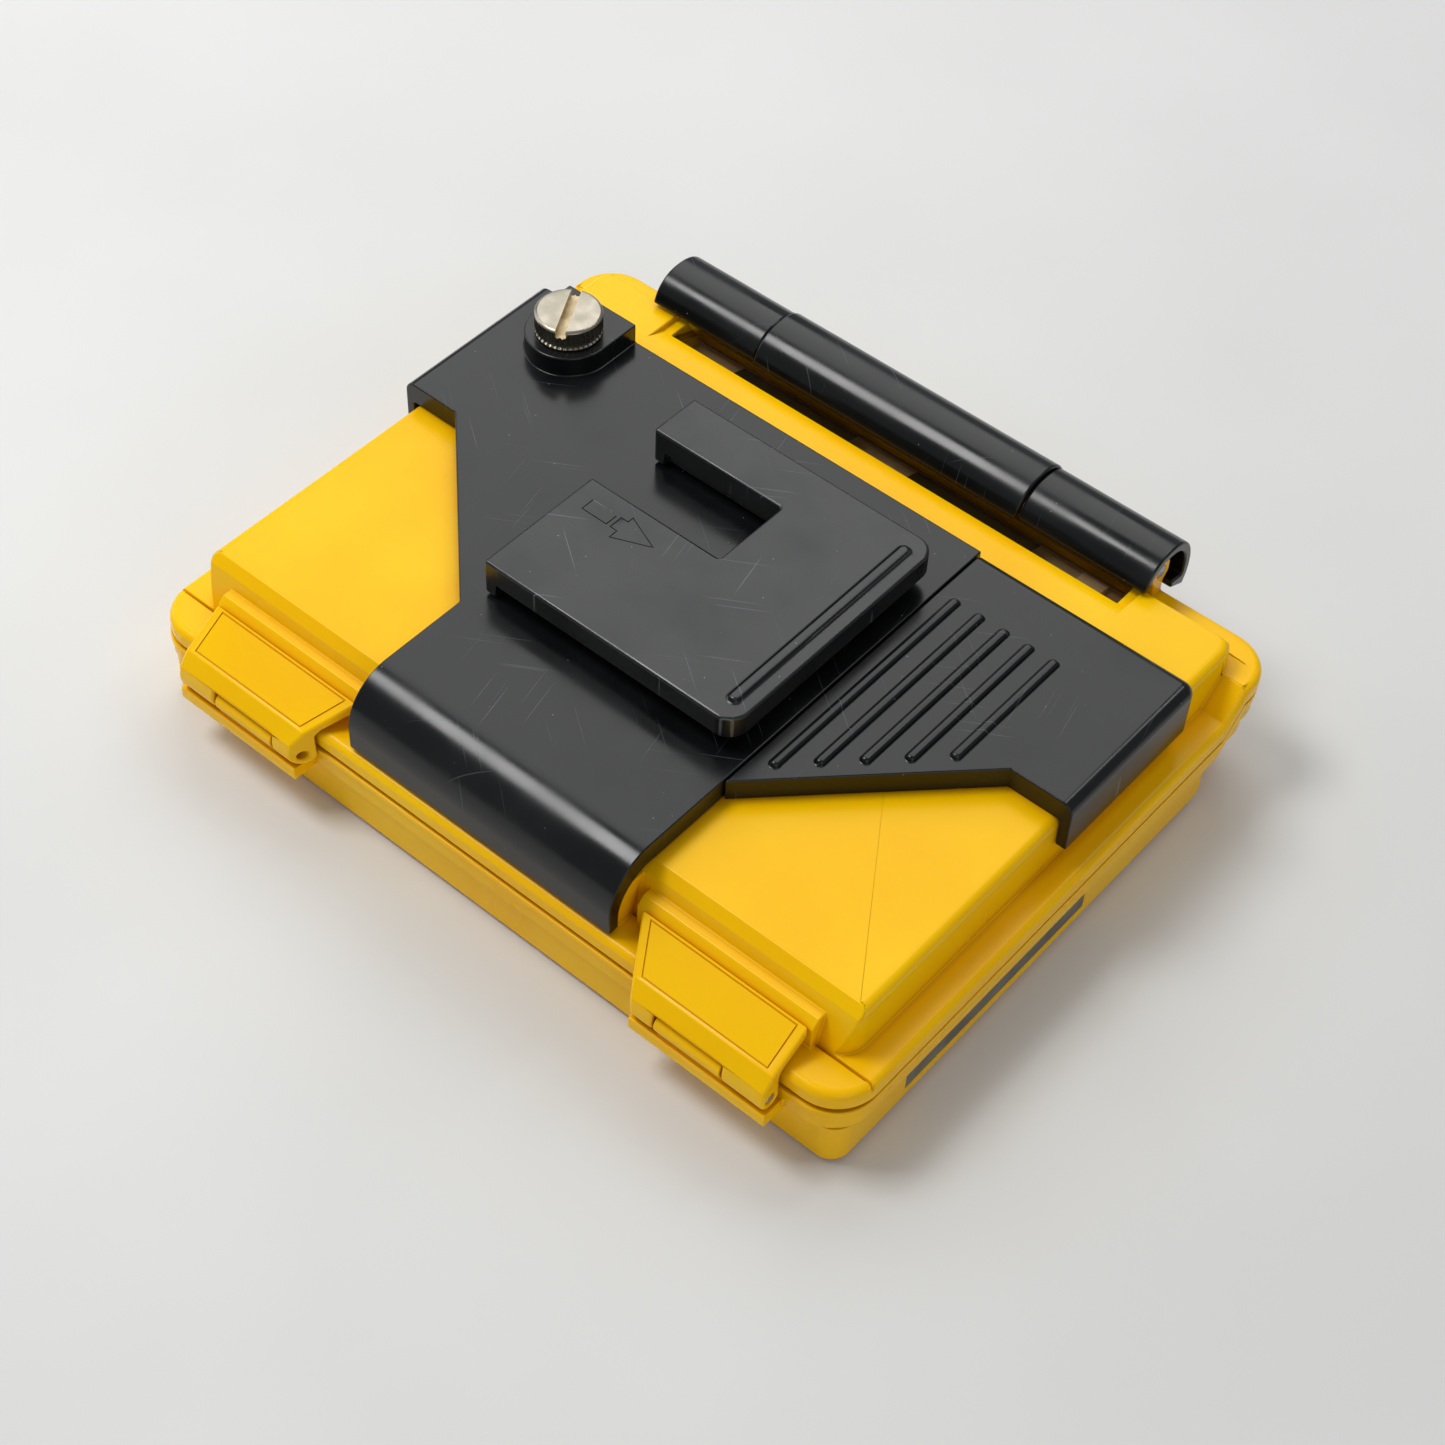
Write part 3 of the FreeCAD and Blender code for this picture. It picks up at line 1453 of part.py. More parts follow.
def make_contacts():
    """Build the contact plates and their springs at both ends of the battery bay."""
    shapes = []
    room = "(bay_right + bay_left - cell_long) / 2 - contact_thick"
    for row in ("-1", "1"):
        y = "(bay_front + bay_back) / 2 + (%s) * cell_pitch / 2" % row
        span = ("%s - contact_half" % y, "%s + contact_half" % y)
        tall = ("ground", "contact_half * 2")
        left = ("-bay_left", "-bay_left + contact_thick")
        right = ("bay_right - contact_thick", "bay_right")
        shapes.append(block(left, span, tall))
        shapes.append(block(right, span, tall))
        axis = (y, "contact_half")
        shapes.append(drum("X", axis, "cell_nub_radius", left[1], "%s + %s" % (left[1], room)))
        shapes.append(drum("X", axis, "cell_nub_radius", "%s - (%s)" % (right[0], room), right[0]))
    finish(join(shapes), "battery_contacts", "middle", "middle", "bay_floor + cell_radius - contact_half")


def make_reel(label, sign):
    """Build one reel spindle with its driving wheel."""
    wheel_foot = "deck_level + deck_thick + float_gap"
    shapes = [
        drum("Z", ("middle", "middle"), "reel_shaft", "reel_foot", wheel_foot + " + reel_wheel_thick"),
        drum("Z", ("middle", "middle"), "reel_wheel", wheel_foot, wheel_foot + " + reel_wheel_thick"),
        drum("Z", ("middle", "middle"), "reel_hub", "reel_foot", "deck_level - float_gap"),
    ]
    for turn in (0, 60, 120):
        fin = doc.addObject("Part::Box", "Fin")
        fin.setExpression("Length", link("reel_fin * 2"))
        fin.setExpression("Width", link("reel_fin_wide"))
        fin.setExpression("Height", link("deck_level - reel_foot - deck_thick * 2"))
        holder = FreeCAD.Placement(FreeCAD.Vector(), FreeCAD.Rotation(FreeCAD.Vector(0, 0, 1), turn))
        corner = FreeCAD.Vector(-value("reel_fin"), -value("reel_fin_wide") / 2, value("reel_foot"))
        fin.Placement = holder.multiply(FreeCAD.Placement(corner, FreeCAD.Rotation()))
        shapes.append(fin)
    finish(join(shapes), label, "%s * reel_x" % sign, "-reel_y", "ground")


def make_flywheel():
    """Build the flywheel with its belt drum and the capstan shaft."""
    foot = "deck_level + deck_thick + float_gap"
    crown = foot + " + flywheel_thick"
    top = crown + " + flywheel_groove"
    wheel = drum("Z", ("middle", "middle"), "flywheel_radius", foot, crown)
    rim = drum("Z", ("middle", "middle"), "flywheel_groove_radius", crown, top)
    shaft = drum("Z", ("middle", "middle"), "capstan_radius", "capstan_foot", top)
    finish(join([wheel, rim, shaft]), "flywheel", "capstan_x", "-capstan_y", "ground")


def make_motor():
    """Build the flat drive motor."""
    can = drum("Z", ("middle", "middle"), "motor_radius", "ground", "motor_tall")
    finish(can, "motor", "motor_x", "-motor_y", "deck_level + deck_thick")


def belt_level():
    """Return the height of the middle of the belt."""
    return "deck_level + deck_thick + float_gap + flywheel_thick + flywheel_groove / 2"


def make_motor_pulley():
    """Build the pulley of the motor."""
    wheel = drum("Z", ("middle", "middle"), "pulley_radius", "-pulley_tall / 2", "pulley_tall / 2")
    finish(join([wheel]), "motor_pulley", "motor_x", "-motor_y", belt_level())


def make_belt():
    """Build the drive belt as a loop round the pulley and the flywheel drum."""
    reach = value("belt_radius + touch_gap")
    small = FreeCAD.Vector(value("motor_x"), value("-motor_y"), 0)
    large = FreeCAD.Vector(value("capstan_x"), value("-capstan_y"), 0)
    small_radius = value("pulley_radius") + reach
    large_radius = value("flywheel_groove_radius") + reach
    along = (large - small).normalize()
    across = FreeCAD.Vector(-along.y, along.x, 0)
    lean = (small_radius - large_radius) / (large - small).Length
    rise = (1 - lean * lean) ** 0.5
    upper = along * lean + across * rise
    lower = along * lean - across * rise
    ends = [small + upper * small_radius, large + upper * large_radius]
    ends += [large + lower * large_radius, small + lower * small_radius]
    path = Part.Wire([
        Part.LineSegment(ends[0], ends[1]).toShape(),
        Part.Arc(ends[1], large + along * large_radius, ends[2]).toShape(),
        Part.LineSegment(ends[2], ends[3]).toShape(),
        Part.Arc(ends[3], small - along * small_radius, ends[0]).toShape(),
    ])
    ring = Part.Wire([Part.Circle(ends[0], ends[1] - ends[0], value("belt_radius")).toShape()])
    loop = doc.addObject("Part::Feature", "Belt")
    loop.Shape = path.makePipeShell([ring], True, False)
    finish(loop, "drive_belt", "middle", "middle", belt_level())


def make_head_bracket():
    """Build the bracket in front of the cassette with the pinch pivot."""
    level = ("bracket_level", "bracket_level + bracket_thick")
    back = "-deck_front + bracket_thick"
    plate = block(("-bracket_left", "bracket_right"), ("-bracket_front", back), level)
    upright = block(("-bracket_left", "bracket_right"), ("-deck_front", back), (level[0], "deck_level"))
    pivot = drum("Z", ("pinch_x", "-pinch_y"), "pinch_pin", "pinch_foot", "bracket_level")
    finish(join([plate, upright, pivot]), "head_bracket")


def make_tape_head():
    """Build the tape head under the bracket."""
    head = block(("-head_half", "head_half"), ("ground", "head_deep"), ("head_foot", "bracket_level"))
    finish(join([head]), "tape_head", "-head_half", "-head_front", "head_foot")


def make_pinch_arm():
    """Build the swinging arm that carries the pinch roller."""
    low = "bracket_level - pinch_arm_thick - slip_gap"
    span = (low, "bracket_level - slip_gap")
    bar = block(("-pinch_reach", "ground"), ("-pinch_arm_wide / 2", "pinch_arm_wide / 2"), span)
    ends = [
        drum("Z", ("middle", "middle"), "pinch_arm_wide / 2", span[0], span[1]),
        drum("Z", ("-pinch_reach", "middle"), "pinch_arm_wide / 2", span[0], span[1]),
    ]
    axle = drum("Z", ("-pinch_reach", "middle"), "pinch_pin", "pinch_foot", low + " + slip_gap")
    bore = drum("Z", ("middle", "middle"), "pinch_pin + touch_gap", "pinch_foot", "deck_level")
    finish(carve(join([bar] + ends + [axle]), [bore]), "pinch_arm", "pinch_x", "-pinch_y", "ground")


def make_pinch_roller():
    """Build the rubber pinch roller."""
    tyre = drum("Z", ("middle", "middle"), "pinch_radius", "ground", "pinch_tall")
    bore = drum("Z", ("middle", "middle"), "pinch_pin + touch_gap", "-slip_gap", "pinch_tall + slip_gap")
    finish(carve(tyre, [bore]), "pinch_roller", "pinch_x - pinch_reach", "-pinch_y", "pinch_foot + slip_gap")


def make_board():
    """Build the circuit board."""
    plate = block(
        ("ground", "board_left - board_right"),
        ("ground", "board_front - board_back"),
        ("ground", "board_thick"),
    )
    finish(join([plate]), "circuit_board", "-board_left", "-board_front", "deck_level + deck_thick")


def board_top():
    """Return the height of the top of the circuit board."""
    return "deck_level + deck_thick + board_thick"


def make_tuner_parts():
    """Build the tuning capacitor and the volume control on the board."""
    for label, y in zip(("tuning_capacitor", "volume_control"), knob_centres()):
        can = block(
            ("ground", "tuner_half * 2"),
            ("-tuner_half", "tuner_half"),
            ("ground", "tuner_tall"),
        )
        stem = ("board_left - knob_x", "middle")
        well = drum("Z", stem, "knob_bore", "-slip_gap", "tuner_tall + slip_gap")
        finish(carve(can, [well]), label, "-board_left", y, board_top())


def make_thumb_wheels():
    """Build the tuning and volume thumb wheels."""
    for label, y in zip(("tuning_knob", "volume_knob"), knob_centres()):
        disc = drum("Z", ("middle", "middle"), "knob_radius", "ground", "knob_thick")
        stub = drum("Z", ("middle", "middle"), "knob_bore - slip_gap", "-tuner_tall", "slip_gap")
        finish(join([disc, stub]), label, "-knob_x", y, "knob_foot")


def make_buttons():
    """Build the four push buttons of the side wall."""
    labels = ("button_play", "button_stop", "button_forward", "button_rewind")
    for label, y in zip(labels, button_centres()):
        cap = block(
            ("ground", "button_out - button_in"),
            ("-button_half", "button_half"),
            ("ground", "button_tall"),
        )
        collar = block(
            ("button_out - button_in - button_collar", "button_out - button_in"),
            ("-button_half - slip_gap * 2", "button_half + slip_gap * 2"),
            ("-swing_gap", "button_tall + swing_gap"),
        )
        finish(join([cap, collar]), label, "-button_out", y, "button_foot")


def make_switches():
    """Build the row of switches behind the buttons."""
    shapes = []
    for y in button_centres():
        shapes.append(
            block(
                ("ground", "switch_deep"),
                ("%s - switch_half" % y, "%s + switch_half" % y),
                ("ground", "switch_tall"),
            )
        )
    rail = block(
        ("switch_deep - board_thick", "switch_deep"),
        ("-board_back + slip_gap", "-button_first + 3 * button_pitch + button_half"),
        ("-board_thick", "switch_tall / 2"),
    )
    finish(join(shapes + [rail]), "button_switches", "-switch_x", "middle", board_top())


def make_jack():
    """Build the earphone socket."""
    side = ("-jack_half", "jack_half")
    case = block(("-jack_out", "-jack_in"), side, ("ground", "jack_tall"))
    nose = drum("X", ("middle", "jack_tall / 2"), "jack_nose", "-jack_nose_out", "-jack_out + slip_gap")
    bore_end = "-jack_nose_out + jack_bore_deep"
    bore = drum("X", ("middle", "jack_tall / 2"), "jack_bore", "-jack_nose_out - slip_gap", bore_end)
    finish(carve(join([case, nose]), [bore]), "headphone_jack", "middle", "jack_y", "jack_foot")


def make_lid_window():
    """Build the pane of the lid."""
    pane = block(
        ("-window_half + touch_gap", "window_half - touch_gap"),
        ("-window_front + touch_gap", "window_back - touch_gap"),
        ("ground", "window_thick"),
    )
    left, front = "-window_half + touch_gap", "-window_front + touch_gap"
    finish(join([pane]), "lid_window", left, front, "window_recess")


def make_label_plate():
    """Build the blank plate on the side of the lid."""
    plate = block(
        ("ground", "label_thick"),
        ("ground", "label_back + label_front - slip_gap"),
        ("ground", "label_top - label_foot - slip_gap"),
    )
    x = "body_half - label_thick - slip_gap"
    finish(join([plate]), "label_plate", x, "-label_front + touch_gap", "label_foot + touch_gap")


def make_cassette_springs():
    """Build the two leaf springs that press on the cassette."""
    shapes = []
    for sign in ("-1", "1"):
        x = "%s * spring_x" % sign
        across = ("%s - spring_half" % x, "%s + spring_half" % x)
        foot = ("%s - spring_wide / 2" % x, "%s + spring_wide / 2" % x)
        along = ("spring_y - spring_wide", "spring_y")
        shapes.append(block(across, along, ("spring_rise", "spring_rise + spring_thick")))
        shapes.append(block(foot, along, ("ground", "spring_rise + slip_gap")))
    finish(join(shapes), "cassette_springs", "middle", "middle", "lid_floor")


def write_parts():
    """Check every sub-part and write it to its own file."""
    doc.recompute()
    for thing in doc.Objects:
        faults = [mark for mark in thing.State if mark in ("Invalid", "Error")]
        if faults:
            raise RuntimeError("%s is %s" % (thing.Label, faults))
    for thing in NODES:
        shape = thing.Shape
        if shape.isNull() or not shape.isValid():
            raise RuntimeError("%s has no valid shape" % thing.Label)
        shape.exportStep("parts/%s.step" % thing.Label)
        box = shape.BoundBox
        spans = (box.XMin, box.XMax, box.YMin, box.YMax, box.ZMin, box.ZMax)
        print(thing.Label, len(shape.Solids), round(shape.Volume, 1), [round(side, 2) for side in spans])


def make_all():
    """Build every sub-part."""
    make_rear_case()
    make_side_cover()
    gap = "bar_seam_gap / 2"
    make_hinge_cover("hinge_cover_left", "-bar_left", "-seam_left - " + gap)
    make_hinge_cover_centre()
    make_hinge_cover("hinge_cover_right", "seam_right + " + gap, "bar_right")
    make_hinge_pin()
    make_gasket()
    make_cover_seal()
    make_insert()
    make_dial_window()
    make_dial_plate()
    make_dial_pointer()
    make_deck_plate()
    make_case_screws()
    make_cell("battery_front", "-1")
    make_cell("battery_rear", "1")
    make_contacts()
    make_board()
    make_tuner_parts()
    make_thumb_wheels()
    make_buttons()
    make_switches()
    make_jack()
    make_motor()
    make_motor_pulley()
    make_belt()
    make_flywheel()
    make_reel("supply_reel", "-1")
    make_reel("takeup_reel", "1")
    make_head_bracket()
    make_tape_head()
    make_pinch_arm()
    make_pinch_roller()
    make_front_lid()
    make_lid_window()
    make_label_plate()
    make_cassette_springs()
    make_latch("latch_left", -1)
    make_latch("latch_right", 1)
    make_latch_pins()
    make_battery_cover()
    make_coin_screw()
    make_ring()
    make_belt_clip()


fill_sheet()
make_all()
write_parts()
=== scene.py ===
import json
import logging
import math
from dataclasses import dataclass, field
from enum import Enum
from typing import Callable, Iterator, Sequence

import bmesh
import bpy
import numpy as np
from mathutils import Matrix, Vector


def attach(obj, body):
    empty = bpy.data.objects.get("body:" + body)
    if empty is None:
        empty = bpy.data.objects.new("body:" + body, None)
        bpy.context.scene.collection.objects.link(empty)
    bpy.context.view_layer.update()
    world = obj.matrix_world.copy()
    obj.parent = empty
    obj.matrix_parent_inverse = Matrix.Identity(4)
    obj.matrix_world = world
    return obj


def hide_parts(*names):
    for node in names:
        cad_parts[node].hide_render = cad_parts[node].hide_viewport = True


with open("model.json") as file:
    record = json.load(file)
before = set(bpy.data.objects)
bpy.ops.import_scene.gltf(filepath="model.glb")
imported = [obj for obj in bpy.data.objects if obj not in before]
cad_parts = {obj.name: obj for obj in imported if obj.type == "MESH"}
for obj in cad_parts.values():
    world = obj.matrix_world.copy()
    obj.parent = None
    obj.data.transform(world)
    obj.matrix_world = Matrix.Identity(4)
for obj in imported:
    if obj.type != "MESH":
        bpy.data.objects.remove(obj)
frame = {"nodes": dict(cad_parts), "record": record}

LOG = logging.getLogger("pocket_player")
Piece, Mesh, Tree, Socket = bpy.types.Object, bpy.types.Mesh, bpy.types.NodeTree, bpy.types.NodeSocket

# A millimetre in metres, and a metre in millimetres: a pattern's scale is METRE over its real size.
MM = 0.001
METRE = 1000.0
# Degrees above which an edge is sharp, and below which neighbouring faces count as one flat face.
SHARP = 32.0
FLAT = 0.3
# Millimetres within which points are joined: in the copy of a CAD node, and in a piece worked out here.
NODE_GAP = 0.002
FINE_GAP = 0.0005
# Steps across a rounded edge, and how strongly the large faces lead the shading, up to 100.
EDGE_STEPS = 3
LARGE_FACES_LEAD = 100
# The axes of an outline that lies level.
LEVEL = np.eye(3)
# The setting of a math node that multiplies.
TIMES = {"operation": "MULTIPLY"}


class Body(Enum):
    """The bodies that the outer pieces ride on."""

    CASE = "case"
    LID = "lid"
    LATCH_LEFT = "latch_left"
    LATCH_RIGHT = "latch_right"
    COVER = "battery_cover"
    SCREW = "coin_screw"
    CLIP = "belt_clip"
    POINTER = "dial_pointer"


def linear(code: str) -> tuple[float, float, float, float]:
    """Turn an sRGB hex code into a linear colour.

    Args:
        code: Six hex digits, with or without a leading hash.

    Returns:
        Red, green, blue and alpha, each from 0 to 1.
    """
    code = code.lstrip("#")
    parts = [int(code[i:i + 2], 16) / 255 for i in (0, 2, 4)]
    red, green, blue = [c / 12.92 if c <= 0.04045 else ((c + 0.055) / 1.055) ** 2.4 for c in parts]
    return red, green, blue, 1.0


def add_node(tree: Tree, kind: str, settings: dict | None = None, **inputs: object) -> bpy.types.Node:
    """Add one shader node, set its properties and fill its inputs.

    Args:
        tree: The node tree to add to.
        kind: The node's Blender type.
        settings: Properties of the node itself.
        **inputs: Socket names, with underscores for spaces, or in0, in1 by place. A socket is linked, a value
            is set.

    Returns:
        The new node.
    """
    node = tree.nodes.new(kind)
    for name, setting in (settings or {}).items():
        setattr(node, name, setting)
    for name, given in inputs.items():
        numbered = name.startswith("in") and name[2:].isdigit()
        socket = node.inputs[int(name[2:])] if numbered else node.inputs[name.replace("_", " ")]
        if isinstance(given, Socket):
            tree.links.new(given, socket)
        else:
            socket.default_value = given
    return node


def blank_material(name: str) -> tuple[bpy.types.Material, Tree, Socket]:
    """Make a material whose tree holds nothing but the object's own coordinates.

    Args:
        name: The material's name.

    Returns:
        The material, its node tree and the socket of the Object coordinates.
    """
    made = bpy.data.materials.new(name)
    made.use_nodes = True
    tree = made.node_tree
    tree.nodes.clear()
    return made, tree, add_node(tree, "ShaderNodeTexCoord").outputs["Object"]


@dataclass(frozen=True)
class Finish:
    """A finish with colour drift, a fine texture, hairline scratches, dust and painted shade in its crevices.

    Lengths are in millimetres, colours in sRGB hex. A zero leaves its layer out. A span holds the two values
    of a pattern between which its layer comes or goes, and bare is the share of cells that stay without it.
    """

    name: str
    colour: str
    shade: str
    roughness: float
    metallic: float = 0.0
    ior: float = 1.5
    drift: float = 18.0
    grain: float = 0.0
    grain_depth: float = 0.0
    scratch: float = 0.0
    scratch_colour: str = "#8a8d8f"
    dust: float = 0.0
    dust_colour: str = "#b8b4aa"
    streak: tuple[float, float, float] = (1.0, 1.0, 1.0)
    glow_through: float = 0.0
    smudge: float = 0.18
    # The strength and colour of the painted shade that deepens the crevices.
    crevice: float = 0.0
    crevice_shade_colour: str = "#c97f0a"
    drift_span: tuple[float, float] = (0.35, 0.65)
    smudge_span: tuple[float, float] = (0.3, 0.7)
    glow_depth: float = 0.4
    scratch_ways: tuple[tuple[float, float], ...] = ((0.62, 3.1), (-0.55, 7.7), (1.35, 12.9))
    scratch_cell: tuple[float, float, float] = (30.0, 0.5, 20.0)
    scratch_span: tuple[float, float] = (0.09, 0.15)
    scratch_bare: float = 0.55
    scratch_rough: float = 0.25
    crevice_reach: float = 1.6
    crevice_span: tuple[float, float] = (0.35, 0.85)
    dust_cell: float = 1.7
    dust_span: tuple[float, float] = (0.03, 0.06)
    dust_bare: float = 0.72
    grain_strength: float = 0.6

    def material(self) -> bpy.types.Material:
        """Build the material, once for each name.

        Returns:
            The Blender material.
        """
        found = bpy.data.materials.get(self.name)
        if found:
            return found
        made, tree, place = blank_material(self.name)
        wide = add_node(tree, "ShaderNodeTexNoise", Vector=place, Scale=METRE / self.drift, Detail=3.0)
        drifted = wide.outputs["Fac"]
        colour = self.mix(tree, drifted, linear(self.colour), linear(self.shade), *self.drift_span)
        rough = add_node(
            tree, "ShaderNodeMapRange", in0=drifted, in1=self.smudge_span[0], in2=self.smudge_span[1],
            in3=self.roughness * (1 - self.smudge), in4=min(1.0, self.roughness * (1 + self.smudge)),
        ).outputs[0]
        # Painted shade: the colour deepens in corners and seams, found by ambient occlusion.
        colour = self.paint_crevice_shade(tree, colour)
        colour, rough = self.scratched(tree, place, colour, rough)
        colour = self.dusted(tree, place, colour)
        shader = add_node(
            tree, "ShaderNodeBsdfPrincipled", Base_Color=colour, Roughness=rough, Metallic=self.metallic,
            IOR=self.ior,
        )
        bump = self.grained(tree, place)
        if bump:
            tree.links.new(bump, shader.inputs["Normal"])
        if self.glow_through:
            shader.inputs["Subsurface Weight"].default_value = self.glow_through
            shader.inputs["Subsurface Scale"].default_value = self.glow_depth * MM
        add_node(tree, "ShaderNodeOutputMaterial", Surface=shader.outputs[0])
        return made

    @staticmethod
    def mix(
        tree: Tree, share: object, first: object, second: object, low: float = 0.0, high: float = 1.0,
    ) -> Socket:
        """Mix two colours by a share that is stretched from low and high to 0 and 1.

        Args:
            tree: The node tree.
            share: The socket that gives the share.
            first: Colour or socket at the low end.
            second: Colour or socket at the high end.
            low: Share that counts as 0.
            high: Share that counts as 1.

        Returns:
            The mixed colour's socket.
        """
        ramp = add_node(tree, "ShaderNodeMapRange", in0=share, in1=low, in2=high, in3=0.0, in4=1.0)
        mixed = add_node(
            tree, "ShaderNodeMix", {"data_type": "RGBA"}, in0=ramp.outputs[0], in6=first, in7=second,
        )
        return mixed.outputs[2]

    def scratched(
        self, tree: Tree, place: Socket, colour: object, rough: object,
    ) -> tuple[object, object]:
        """Lay short straight hairlines over the finish, in three directions.

        Each is a cell of a Voronoi pattern stretched to 30 mm by 0.5 mm: near its point the cell is a line
        about 4 mm long and 0.1 mm wide. About half of the cells are picked by their random colour.

        Args:
            tree: The node tree.
            place: The Object coordinates.
            colour: Colour so far.
            rough: Roughness so far.

        Returns:
            Colour and roughness with the scratches.
        """
        if not self.scratch:
            return colour, rough
        core, rim = self.scratch_span
        scale = tuple(METRE / side for side in self.scratch_cell)
        for turn, seed in self.scratch_ways:
            spun = add_node(tree, "ShaderNodeMapping", Vector=place, Rotation=(0.0, 0.0, turn))
            drawn = add_node(
                tree, "ShaderNodeMapping", Vector=spun.outputs[0], Location=(seed, seed, seed), Scale=scale,
            )
            cells = add_node(tree, "ShaderNodeTexVoronoi", Vector=drawn.outputs[0], Scale=1.0)
            thin = add_node(
                tree, "ShaderNodeMapRange", in0=cells.outputs["Distance"], in1=core, in2=rim, in3=1.0,
                in4=0.0,
            )
            pick = add_node(tree, "ShaderNodeSeparateColor", Color=cells.outputs["Color"])
            part = add_node(
                tree, "ShaderNodeMapRange", in0=pick.outputs[0], in1=self.scratch_bare, in2=1.0, in3=0.0,
                in4=self.scratch,
            )
            share = add_node(tree, "ShaderNodeMath", TIMES, in0=thin.outputs[0], in1=part.outputs[0])
            colour = self.mix(tree, share.outputs[0], colour, linear(self.scratch_colour))
            rough = add_node(
                tree, "ShaderNodeMath", {"operation": "MULTIPLY_ADD"}, in0=share.outputs[0],
                in1=self.scratch_rough, in2=rough,
            ).outputs[0]
        return colour, rough

    def paint_crevice_shade(self, tree: Tree, colour: Socket) -> Socket:
        """Paint shade into corners and seams: deepen the colour where ambient occlusion finds them shut in.

        Args:
            tree: The node tree.
            colour: Colour so far.

        Returns:
            The colour with darker crevices.
        """
        if not self.crevice:
            return colour
        shut, free = self.crevice_span
        sky = add_node(tree, "ShaderNodeAmbientOcclusion", {"samples": 6}, Distance=self.crevice_reach * MM)
        share = add_node(
            tree, "ShaderNodeMapRange", in0=sky.outputs["AO"], in1=shut, in2=free, in3=self.crevice, in4=0.0,
        )
        return self.mix(tree, share.outputs[0], colour, linear(self.crevice_shade_colour))

    def dusted(self, tree: Tree, place: Socket, colour: object) -> object:
        """Scatter specks of dust about 0.15 mm across.

        Args:
            tree: The node tree.
            place: The Object coordinates.
            colour: Colour so far.

        Returns:
            The colour with the dust.
        """
        if not self.dust:
            return colour
        core, rim = self.dust_span
        cells = add_node(tree, "ShaderNodeTexVoronoi", Vector=place, Scale=METRE / self.dust_cell)
        speck = add_node(
            tree, "ShaderNodeMapRange", in0=cells.outputs["Distance"], in1=core, in2=rim, in3=1.0, in4=0.0,
        )
        pick = add_node(tree, "ShaderNodeSeparateColor", Color=cells.outputs["Color"])
        chosen = add_node(
            tree, "ShaderNodeMath", {"operation": "GREATER_THAN"}, in0=pick.outputs[0], in1=self.dust_bare,
        )
        share = add_node(tree, "ShaderNodeMath", TIMES, in0=speck.outputs[0], in1=chosen.outputs[0])
        thinned = add_node(tree, "ShaderNodeMath", TIMES, in0=share.outputs[0], in1=self.dust)
        return self.mix(tree, thinned.outputs[0], colour, linear(self.dust_colour))

    def grained(self, tree: Tree, place: Socket) -> Socket | None:
        """Give the surface its fine moulded or brushed relief.

        Args:
            tree: The node tree.
            place: The Object coordinates.

        Returns:
            The normal's socket, or None for a surface with no relief.
        """
        if not self.grain:
            return None
        drawn = add_node(tree, "ShaderNodeMapping", Vector=place, Scale=self.streak)
        noise = add_node(
            tree, "ShaderNodeTexNoise", Vector=drawn.outputs[0], Scale=METRE / self.grain, Detail=3.0,
        )
        bump = add_node(
            tree, "ShaderNodeBump", Strength=self.grain_strength, Distance=self.grain_depth * MM,
            Height=noise.outputs["Fac"],
        )
        return bump.outputs[0]


@dataclass(frozen=True)
class Pane:
    """Clear or smoked moulded acrylic, which shows what lies behind it and mirrors the room."""

    name: str
    colour: str
    roughness: float
    cover: float
    ior: float = 1.49
    haze: float = 6.0
    haze_span: tuple[float, float] = (0.4, 0.7)
    haze_rough: float = 0.12

    def material(self) -> bpy.types.Material:
        """Build the pane's material, once for each name.

        Returns:
            The Blender material.
        """
        found = bpy.data.materials.get(self.name)
        if found:
            return found
        made, tree, place = blank_material(self.name)
        haze = add_node(tree, "ShaderNodeTexNoise", Vector=place, Scale=METRE / self.haze, Detail=4.0)
        rough = add_node(
            tree, "ShaderNodeMapRange", in0=haze.outputs["Fac"], in1=self.haze_span[0], in2=self.haze_span[1],
            in3=self.roughness, in4=self.roughness + self.haze_rough,
        )
        shader = add_node(
            tree, "ShaderNodeBsdfPrincipled", Base_Color=linear(self.colour), Roughness=rough.outputs[0],
            IOR=self.ior, Alpha=self.cover,
        )
        add_node(tree, "ShaderNodeOutputMaterial", Surface=shader.outputs[0])
        return made


# Yellow ABS, injection moulded and left satin: warm, faintly uneven colour with soft broad highlights, and
# painted shade that deepens it to orange in corners and seams.
YELLOW = Finish(
    "moulded_abs_yellow", "#ffc800", "#fcbe00", 0.25, ior=1.25, drift=26.0, grain=0.5, grain_depth=0.004,
    scratch=0.10, scratch_colour="#d88c18", glow_through=0.12, crevice=0.75,
)
# Black ABS, polished in the mould: near black, glossy, with hairlines and specks of dust.
BLACK = Finish(
    "polished_abs_black", "#0c0e0f", "#121415", 0.22, ior=1.42, drift=14.0, grain=0.6, grain_depth=0.003,
    scratch=0.34, scratch_colour="#6f7577", dust=0.5, dust_colour="#a9a8a2", smudge=0.35,
)
# Black ABS worn by a belt and hands: softer gloss and more hairlines.
BLACK_WORN = Finish(
    "worn_abs_black", "#101213", "#17191a", 0.30, drift=10.0, grain=0.35, grain_depth=0.008,
    scratch=0.5, scratch_colour="#7c8284", dust=0.6, dust_colour="#b0aea7", smudge=0.3,
)
# Nickel plate on turned brass: warm grey mirror with turning marks.
NICKEL = Finish(
    "nickel_plate", "#a9a294", "#979182", 0.3, metallic=1.0, drift=3.0, grain=0.12, grain_depth=0.01,
    scratch=0.5, scratch_colour="#a79f8c",
)
# Brass where the plate has worn off the slot: dull cream yellow.
SLOT_WEAR = Finish(
    "worn_brass", "#cdbb96", "#b7a27a", 0.5, metallic=0.6, drift=1.5, grain=0.2, grain_depth=0.02,
)
